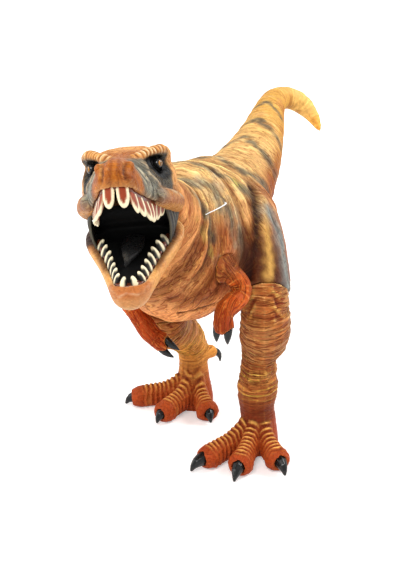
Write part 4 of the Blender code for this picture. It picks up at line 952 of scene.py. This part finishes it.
def sculpt_leg(item, places, normals, axis, toes, ring, warm, seed):
    """Ring wrinkles down the shank, ribs across the toes, and their paint."""
    z = places[:, 2]
    _, away, flow = limb_flow(places, axis, 50, 2.4 * sway(places, 11, seed), 12, 0.6)
    foot, shank = ramp(24, 14, z), ramp(22, 32, z)
    lines = crease(flow, (1.7, 14, 20), seed + 1)
    folds = crease(flow, (4.4, 16, 30), seed + 2)
    height = (0.25 + 0.75 * shank) * (0.75 * lines + 0.5 * folds)
    height += 0.14 * crease(places, 2, seed + 3) * foot

    crest, beat, cuff = (np.zeros(len(places)) for _ in range(3))
    web = np.ones(len(places))
    waver = 2.6 * noise(places / 4, seed + 8)
    for start, end in np.array(toes):
        level = (end - start)[:2]
        length = np.hypot(*level)
        flat = np.array((*level, 0)) / length
        across = np.array((-flat[1], flat[0], 0))
        offset, ahead = (places - end) @ across, (places - start) @ flat
        covered = ramp(-2, 5, ahead) * ramp(length + 3, length + 1, ahead)
        top = bell(offset, 3) * covered * ramp(-0.05, 0.45, normals[:, 2])
        wave = ahead * math.tau / 2.4 + np.abs(offset) * 0.55 + waver
        crest = np.maximum(crest, top)
        beat = np.where(top >= crest - 1e-6, 0.5 + 0.5 * np.cos(wave), beat)
        web = np.minimum(web, 1 - 0.8 * bell(offset, 4.6) * covered)
        flanks = bell(np.abs(offset) - 4.4, 1.8) * covered * ramp(11, 7, z)
        height += 0.45 * flanks * np.sin(ahead * math.tau / 2.8)
        cuff = np.maximum(cuff, bell(np.linalg.norm(places - end, axis=1) - 4, 1.1))
    height += crest * (1.2 * beat - 0.45)
    sole = ramp(0.2, 1.6, z)
    raise_skin(item, places, normals, np.clip(height, -1.1, 1) * sole * off_joints(places))

    proud = relief_of(item, 4)
    coat = Coats(SHANK)
    coat.add(SHANK * (0.6, 0.42, 0.4), fractal(flow / (6, 12, 20), seed + 5))
    pale = 0.45 * ramp(0.45, 0.75, fractal(places / 12, seed + 6))
    coat.add(TAN * 0.9, pale * ramp(45, 60, z))
    coat.add(SHIN * 1.6 + warm * (TOE - SHIN * 1.2), ramp(38, 20, z))
    coat.add(TOE, ramp(26, 8, z))
    coat.add(SHIN_GLOW, 1.5 * warm * bell(z - 35, 15))
    coat.add(SHIN, (0.9 - 0.7 * warm) * bell(z - 23, 8) * ramp(4, -5, away[:, 1]))
    # Painted shade in the creases
    coat.scale((0.3, 0.16, 0.15), (0.9 - 0.2 * foot - 0.3 * warm) * ramp(0.03, -0.11, proud))
    # Painted highlight on the crests, more golden near the ring height
    gold = mix(TAN, GOLD * 1.2, bell(z - ring, 9) * 1.2 + 0.15)
    coat.add(gold, 0.95 * ramp(0.01, 0.11, proud) * ramp(28, 35, z))
    coat.add(TOE * (0.62, 0.35, 0.4), 0.6 * foot * web)
    # Painted shade in the toe grooves and painted highlight on the toe ribs
    coat.add(TOE_GROOVE, 0.85 * crest * ramp(0.5, 0.1, beat))
    coat.add(TOE_RIB, 0.8 * crest * ramp(0.55, 0.95, beat))
    # Painted highlight on the foot's crests
    coat.lighten(1.2, 0.03, 0.6 * ramp(0.05, 0.16, proud) * foot)
    coat.add(TOE_CUFF, 0.6 * cuff)
    set_colour(item, coat.colours, 0.3 + 0.65 * ramp(28, 38, z))
    set_flow(item, np.where(foot[:, None] > 0.5, places / 2.2, flow / (1.15, 16, 20)))


def sculpt_arm(item, places, normals, axis, painted_light, seed):
    """Ring wrinkles of the upper arm, grooved hand, and their paint."""
    run, _, flow = limb_flow(places, axis, 40, 1.6 * sway(places, 7, seed), 6, 0.5)
    hand = ramp(30, 36, run)
    height = 0.45 * crease(flow, (2, 8, 20), seed + 1) * (1 - 0.5 * hand)
    height += 0.25 * crease(flow, (6, 2.4, 9), seed + 2)
    raise_skin(item, places, normals, height * off_joints(places, 1.2))

    proud = relief_of(item, 4)
    coat = Coats(ARM)
    coat.add(ARM * (0.55, 0.4, 0.5), fractal(flow / (6, 7, 9), seed + 3))
    coat.add(ARM_ROOT, 0.75 * ramp(16, 8, run))
    coat.add(ARM * (0.55, 0.34, 0.4), 0.7 * hand)
    # Painted shade in the creases and painted highlight on the crests
    coat.scale((0.24, 0.12, 0.12), 0.9 * ramp(0.02, -0.1, proud))
    coat.add(ARM_CREST, 0.75 * ramp(0.02, 0.11, proud))
    # Each arm's colour is scaled by its own level of painted light
    set_colour(item, coat.colours * painted_light, 0.75)
    set_flow(item, flow / (9, 1.6, 9))


# Teeth

TOOTH_ROWS, TOOTH_SIDES = 14, 20
THINNEST = 0.03
ROOT_DEPTH, STAND_OUT = 1.9, 0.35
TANGENT_STEP = 0.012
GUM_HEIGHT, GUM_PRESS = 0.9, 0.94

# From the front backwards: share of the arch from its middle, length
UPPER_ROW = (
    (0.024, 6.2), (0.078, 6.6), (0.133, 6.9), (0.19, 6.5), (0.25, 6), (0.312, 5.4), (0.375, 4.6),
    (0.436, 3.4),
)
LOWER_ROW = (
    (0.024, 2.6), (0.076, 3.3), (0.132, 3.9), (0.19, 4.2), (0.248, 4.2), (0.308, 4), (0.37, 3.8),
    (0.434, 3.2),
)


def arch_point(rows, share):
    """Local place at a share along an arch, from its right rear to its left rear."""
    right = [(-half, -fore, height) for fore, half, height in rows]
    points = np.array(right + [(-x, y, z) for x, y, z in reversed(right)])
    runs = distances(points)
    return points_at(points, runs, share * runs[-1])


def upper_ring(share):
    """Half width and depth of an upper tooth: a blunt peg with a rounded end."""
    end = max(share - 0.45, 0) / 0.55
    width = (1 - 0.06 * share) * max(1 - end ** 2.3, 0) ** 0.5
    return width, max(1 - share ** 2.2, 0) ** 0.5


def lower_ring(share):
    """Half width and depth of a lower tooth: a peg that narrows to a rounded tip."""
    end = max(1 - share ** 3, 0) ** 0.5 * (1 - 0.18 * share)
    return end, end


def tooth_colour(upper, share, flat, proud, turn):
    """Ivory rims round a dark heart that faces the front of the mouth."""
    if upper:
        edge = ((flat - 0.42 * turn) / 0.6) ** 2 + (max(share - 0.42, 0) / 0.42) ** 2
        ivory = ramp(0.75, 1.2, edge) * ramp(-1.3, -0.3, proud)
        return HEART + (IVORY - HEART) * ivory
    facing = 0.85 * flat * turn - (0.45 + 0.15 * abs(turn)) * proud
    heart = ramp(-0.32, 0.1, facing) * (1 - ramp(0.8, 0.96, share))
    ivory = ramp(0.1, 0.45, share) * (1 - heart)
    return BLACK * 2 + (IVORY * 1.05 - BLACK * 2) * ivory


def add_tooth(bm, layer, axes, root, axis, across, length, half, depth, hook, upper):
    """A painted tooth that leans outwards by hook; upper ones have a dip in the face."""
    out = np.cross(axis, across)
    loops = []
    for row in range(TOOTH_ROWS + 1):
        share = math.sin(row / TOOTH_ROWS * math.pi / 2)
        width, thick = upper_ring(share) if upper else lower_ring(share)
        width, thick = max(width, THINNEST), max(thick, THINNEST)
        centre = root + axis * (length * share) + out * (hook * share * share)
        loop = []
        for index in range(TOOTH_SIDES):
            angle = math.tau * index / TOOTH_SIDES
            flat, proud = math.cos(angle), math.sin(angle)
            dip = 0.3 * max(proud, 0) * max(1 - (flat / 0.7) ** 2, 0) * (1 - share ** 4)
            bulge = proud * (1 - dip) if upper else proud
            point = centre + across * (half * width * flat) + out * (depth * thick * bulge)
            vertex = bm.verts.new(Vector(HEAD_ORIGIN + axes @ point) * MM)
            vertex[layer] = (*tooth_colour(upper, share, flat, proud, -across[1]), 1)
            loop.append(vertex)
        loops.append(loop)
    for first, second in zip(loops, loops[1:]):
        bridge(bm, first, second)
    bm.faces.new(loops[0][::-1])
    bm.faces.new(loops[-1])


def build_teeth(name, body, rows, axes, row, fill, depth, lean, hook, upper):
    """A row of separate teeth along an arch, which fill a share of their places."""
    bm = bmesh.new()
    layer = bm.verts.layers.float_color.new("paint")
    sign = -1 if upper else 1
    shares = [0.5 - share for share, _ in reversed(row)] + [0.5 + share for share, _ in row]
    lengths = [length for _, length in (*reversed(row), *row)]
    edges = [1.5 * shares[0] - 0.5 * shares[1]]
    edges += [(a + b) / 2 for a, b in zip(shares, shares[1:])]
    edges.append(1 - edges[0])
    for index, (share, length) in enumerate(zip(shares, lengths)):
        ahead, before = min(share + TANGENT_STEP, 1), max(share - TANGENT_STEP, 0)
        step = arch_point(rows, ahead) - arch_point(rows, before)
        step[2] = 0
        across = step / np.linalg.norm(step)
        out = np.array((across[1], -across[0], 0))
        middle = abs(share - 0.5)
        tilt = lean * min(0.2 + middle / 0.12, 1) * (1 - ramp(0.2, 0.34, middle))
        axis = np.array((0, 0, sign)) + out * tilt
        axis /= np.linalg.norm(axis)
        root = arch_point(rows, share) + out * STAND_OUT - axis * ROOT_DEPTH
        span = arch_point(rows, edges[index + 1]) - arch_point(rows, edges[index])
        wider = 0.96 + 0.08 * cell_value(np.array([[index, 3, 7]]), 5)[0]
        longer = 0.95 + 0.1 * cell_value(np.array([[index, 5, 2]]), 6)[0]
        half = fill * np.linalg.norm(span) * wider
        add_tooth(bm, layer, axes, root, axis, across * -sign, length * longer + ROOT_DEPTH,
                  half, depth, hook, upper)
    bmesh.ops.recalc_face_normals(bm, faces=bm.faces)
    place(mesh_object(bm, name), body, "enamel")


def build_gum(name, node, body, rows, axes, sign):
    """The gum band: the CAD tooth row with its crowns pressed flat under the new ones."""
    item = dense_copy(name, node, 0.32, 2)
    places = read_places(item)
    local = (places - HEAD_ORIGIN) @ axes
    lip = arch_value(-local[:, 1], rows, 2) + sign * GUM_HEIGHT
    past = (local[:, 2] - lip) * sign
    local[:, 2] -= sign * np.maximum(past, 0) * GUM_PRESS
    write_places(item, HEAD_ORIGIN + local @ axes.T)
    set_colour(item, mix(GUM, UMBER, fractal(places / 2, 401)))
    place(item, body, "gloss", node)


# Small pieces

# Centre of the left eye and where it looks, along the head's axes
EYE_PLACE, EYE_LOOK = (12.7, -21, 15.6), (0.8, -0.6, 0.02)
EYE_TRIM = 0.45


def build_eye(node, side):
    """A glassy ball with a dark amber iris and an upright pupil."""
    low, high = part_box(node)
    radius = (high.x - low.x) / 2 / MM - EYE_TRIM
    mirror = np.array((side, 1, 1))
    centre = HEAD_ORIGIN + HEAD_AXES @ (mirror * EYE_PLACE)
    bm = bmesh.new()
    bmesh.ops.create_uvsphere(bm, u_segments=64, v_segments=48, radius=radius * MM)
    bmesh.ops.translate(bm, verts=bm.verts, vec=Vector(centre) * MM)
    item = mesh_object(bm, node + "_ball")
    look = HEAD_AXES @ (mirror * EYE_LOOK)
    rise = HEAD_AXES[:, 2]
    away = (read_places(item) - centre) / radius
    over, up = away @ np.cross(rise, look), away @ rise
    front = away @ look > 0
    coat = Coats(BLACK * 2)
    coat.add(IRIS, ramp(0.62, 0.5, np.hypot(over, up)) * front)
    pupil = ramp(0.24, 0.15, np.abs(over) + 0.1 * np.abs(up))
    coat.add(BLACK, pupil * (np.abs(up) < 0.5) * front)
    set_colour(item, coat.colours)
    place(item, "torso", "glass", node)


def build_claw(node, body):
    """A smooth black horn."""
    item = dense_copy(node + "_horn", node, 0.24, 10)
    places = read_places(item)
    set_colour(item, mix(BLACK * 0.6, BLACK * 1.6, noise(places / 1.5, 501)))
    place(item, body, "horn", node)


def build_tongue():
    """A narrow pointed tongue, raised and set slightly to one side, with a painted highlight along
    one edge.
    """
    item = dense_copy("tongue_flesh", "tongue", 0.35, 12)
    local = (read_places(item) - HEAD_ORIGIN) @ JAW_AXES
    side, back = local[:, 0], local[:, 1]
    root = back.max()
    share = ramp(root, back.min(), back)
    back[:] = root + (back - root) * (1 - 0.16 * share)
    side *= 0.82 * (1 - 0.8 * share ** 1.1)
    side -= 2.2 * share
    local[:, 2] += 1.6 * share
    places = HEAD_ORIGIN + local @ JAW_AXES.T
    write_places(item, places)
    # Painted highlight along one edge of the tongue
    edge = bell(side + 4.6 - 2.6 * share, 1.1) * ramp(0.3, 0.6, share) * ramp(1, 0.8, share)
    coat = Coats(BLACK * 6)
    coat.add(BLACK * 8, noise(places / 6, 801))
    coat.add(TONGUE_HIGHLIGHT, 0.8 * edge)
    set_colour(item, coat.colours)
    place(item, "jaw", "wet", "tongue")


# Upper and lower edge of the mouth's corner skin, along the head's and the jaw's axes
CORNER_EDGES = (
    (HEAD_AXES, ((24, 14.4, 0.2), (17, 16, 0.3), (9, 17, 0.4), (1, 17.5, 0.4))),
    (JAW_AXES, ((20, 14.6, -6), (13, 15.8, -6.2), (7, 16.4, -6.4), (0, 16.6, -6.2))),
)
CORNER_ACROSS, CORNER_DOWN = 49, 25
CORNER_RIBS = 5
CORNER_THICK = 0.9


def corner_edge(axes, rows, side):
    """Evenly spread places along one edge of the mouth's corner skin."""
    line = []
    for index in range(CORNER_ACROSS):
        step = index / (CORNER_ACROSS - 1) * (len(rows) - 1)
        fore, out, high = (np.interp(step, range(len(rows)), column) for column in zip(*rows))
        line.append(HEAD_ORIGIN + axes @ np.array((side * out, -fore, high)))
    return line


def corner_sheet(bm, layer, top, bottom, outward):
    """One side of the mouth's corner skin, as rows of vertices with pale ribs."""
    sheet = []
    for row in range(CORNER_DOWN):
        share = row / (CORNER_DOWN - 1)
        bulge = math.sin(math.pi * share)
        line = []
        for index in range(CORNER_ACROSS):
            rib = 0.5 + 0.5 * math.cos(math.tau * CORNER_RIBS * index / (CORNER_ACROSS - 1))
            point = top[index] * (1 - share) + bottom[index] * share
            vertex = bm.verts.new(Vector(point + outward(bulge, rib)) * MM)
            pale = 0.26 * ramp(0.75, 1, rib) * (0.3 + 0.7 * bulge)
            vertex[layer] = (*(MOUTH_CORNER + STEEL * pale), 1)
            line.append(vertex)
        sheet.append(line)
    return sheet


def outline(sheet):
    """The vertices round a sheet's edge, in order."""
    left, right = [line[0] for line in sheet], [line[-1] for line in sheet]
    return sheet[0] + right[1:] + sheet[-1][-2::-1] + left[-2:0:-1]


def build_corner(name, side):
    """Ribbed skin between the cheek and the rear of the jaw."""
    top, bottom = (corner_edge(axes, rows, side) for axes, rows in CORNER_EDGES)
    outward = HEAD_AXES[:, 0] * side
    bm = bmesh.new()
    layer = bm.verts.layers.float_color.new("paint")
    sheets = []
    for thick in (0, -CORNER_THICK):
        sheets.append(corner_sheet(
            bm, layer, top, bottom,
            lambda bulge, rib: outward * (bulge + 0.55 * rib * bulge + thick)))
    for row in range(CORNER_DOWN - 1):
        for index in range(CORNER_ACROSS - 1):
            for sheet in sheets:
                (a, b), (c, d) = (line[index:index + 2] for line in sheet[row:row + 2])
                bm.faces.new((a, b, d, c))
    bridge(bm, *(outline(sheet) for sheet in sheets))
    bmesh.ops.recalc_face_normals(bm, faces=bm.faces)
    item = mesh_object(bm, name)
    set_look(item, "satin")
    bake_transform(item)


def build_tag_pin():
    """The small white fastener through the flank."""
    points = (
        # place, radius
        ((17, -50.8, 131), 0.2), ((19.2, -51.2, 132.8), 0.22), ((21, -45, 133.4), 0.21),
        ((22.2, -39, 134), 0.28), ((22.2, -34.6, 134.3), 0.38), ((19.6, -33, 133.6), 0.34),
    )
    curve = bpy.data.curves.new("tag_pin", "CURVE")
    curve.dimensions = "3D"
    curve.bevel_depth = MM
    curve.bevel_resolution = 4
    curve.use_fill_caps = True
    spline = curve.splines.new("NURBS")
    spline.points.add(len(points) - 1)
    for point, (spot, radius) in zip(spline.points, points):
        point.co = (*(Vector(spot) * MM), 1)
        point.radius = radius
    spline.use_endpoint_u = True
    spline.order_u = 3
    place(add_object("tag_pin", curve), "torso", "tag")


# Build the figure

def build_skin(name, node, body, voxel, rounds, look, sculpt, *settings):
    """Sculpt a node's skin, and line the part that sculpt says is inside the mouth."""
    item = dense_copy(name, node, voxel, rounds)
    inside = sculpt(item, read_places(item), read_normals(item), *settings)
    place(item, body, look, node)
    if inside is not None:
        line_with(item, inside, "lining")


build_skin("trunk_skin", "trunk", "torso", 0.85, 3, "skin", sculpt_trunk)
build_skin("skull_skin", "skull", "torso", 0.45, 4, "head", sculpt_skull)
build_skin("jaw_skin", "lower_jaw", "jaw", 0.45, 4, "head", sculpt_jaw)
for limb, voxel, sculpt, *settings in (
    # axis, toes, height of the golden ring, warmth of the shin, seed
    ("left_leg", 0.42, sculpt_leg, LEG_LEFT, TOES_LEFT, 38, 0, 601),
    ("right_leg", 0.42, sculpt_leg, LEG_RIGHT, TOES_RIGHT, 40, 0.8, 641),
    # axis, brightness painted in for the light on each arm, seed
    ("left_arm", 0.38, sculpt_arm, ARM_LEFT, 1, 701),
    ("right_arm", 0.38, sculpt_arm, ARM_RIGHT, 1.15, 741),
):
    build_skin(limb + "_skin", limb, limb + "_group", voxel, 3, "limb", sculpt, *settings)

build_gum("upper_gum", "upper_teeth", "torso", UPPER_ARCH, HEAD_AXES, -1)
build_teeth("upper_crowns", "torso", UPPER_ARCH, HEAD_AXES, UPPER_ROW,
            fill=0.51, depth=1.3, lean=0.4, hook=-0.5, upper=True)
build_gum("lower_gum", "lower_teeth", "jaw", LOWER_ARCH, JAW_AXES, 1)
build_teeth("lower_crowns", "jaw", LOWER_ARCH, JAW_AXES, LOWER_ROW,
            fill=0.4, depth=1.5, lean=0.16, hook=-1.7, upper=False)

build_corner("left_mouth_corner", 1)
build_corner("right_mouth_corner", -1)
build_eye("left_eye", 1)
build_eye("right_eye", -1)
for node, item in NODES.items():
    if "claw" in node:
        build_claw(node, item["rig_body"])
build_tongue()
for node, item in NODES.items():
    for look in ("lining", "plug", "jaw_pin"):
        if look in node:
            set_look(item, look)
build_tag_pin()


# Stage, light and camera

def seen_directly(tree):
    """1 for what the camera sees, also in reflections and through glass."""
    path = tree.nodes.new("ShaderNodeLightPath").outputs
    mirrored = maths(tree, "MAXIMUM", path["Is Glossy Ray"], path["Is Transmission Ray"])
    return maths(tree, "MAXIMUM", path["Is Camera Ray"], mirrored)


def build_floor(size):
    """A wide white floor that keeps a faint shadow."""
    mesh = bpy.data.meshes.new("floor")
    corners = [(-size, -size, 0), (size, -size, 0), (size, size, 0), (-size, size, 0)]
    mesh.from_pydata(corners, [], [(0, 1, 2, 3)])
    item = add_object("floor", mesh)
    material, tree, shader = new_material("floor white")
    shader.inputs["Base Color"].default_value = (0.9, 0.88, 0.87, 1)
    shader.inputs["Roughness"].default_value = 0.6
    reach = add_node(tree, "VectorMath", "LENGTH")
    spot = tree.nodes.new("ShaderNodeTexCoord")
    tree.links.new(spot.outputs["Object"], reach.inputs[0])
    level = remap(tree, reach.outputs["Value"], 0.15, 0.9, 0.35, 0.85)
    glow = maths(tree, "MULTIPLY", seen_directly(tree), level)
    shader.inputs["Emission Color"].default_value = (1, 0.99, 0.985, 1)
    tree.links.new(glow, shader.inputs["Emission Strength"])
    mesh.materials.append(material)


def build_world():
    """White for the camera, soft light for the figure."""
    world = bpy.data.worlds.new("studio")
    world.use_nodes = True
    tree = world.node_tree
    background = tree.nodes["Background"]
    background.inputs["Color"].default_value = (1, 1, 1, 1)
    level = add_node(tree, "MapRange", Value=seen_directly(tree), To_Min=0.5, To_Max=1)
    tree.links.new(level.outputs["Result"], background.inputs["Strength"])
    bpy.context.scene.world = world


def add_lamp(name, spot, target, size, power):
    """A large soft lamp aimed at the figure, with its places and size in metres."""
    lamp = bpy.data.lights.new(name, "AREA")
    lamp.size = size
    lamp.energy = power
    item = add_object(name, lamp)
    item.location = spot
    aim = Vector(target) - Vector(spot)
    item.rotation_euler = aim.to_track_quat("-Z", "Y").to_euler()
    item.visible_camera = False


def build_camera():
    """Camera at the photograph's place, with its lens."""
    turn, tilt = math.radians(25), math.radians(20)
    camera = bpy.data.cameras.new("camera")
    camera.sensor_width = 36
    camera.lens = 60
    camera.clip_end = 50
    item = add_object("camera", camera)
    item.location = (0.185163, -0.412931, 0.245)
    level = math.cos(tilt)
    back = Vector((math.sin(turn) * level, -math.cos(turn) * level, math.sin(tilt)))
    right = Vector((math.cos(turn), math.sin(turn), 0))
    item.rotation_euler = Matrix((right, back.cross(right), back)).transposed().to_euler()
    bpy.context.scene.camera = item


build_floor(12)
build_world()
add_lamp("key", (0.1, -0.75, 0.85), (0, -0.02, 0.09), 0.45, 8)
add_lamp("fill", (-0.7, -0.35, 0.45), (0, -0.02, 0.09), 0.5, 3)
add_lamp("rim", (0.55, 0.45, 0.7), (0, 0.02, 0.11), 0.4, 6)
build_camera()
bpy.context.scene.view_settings.view_transform = "Standard"
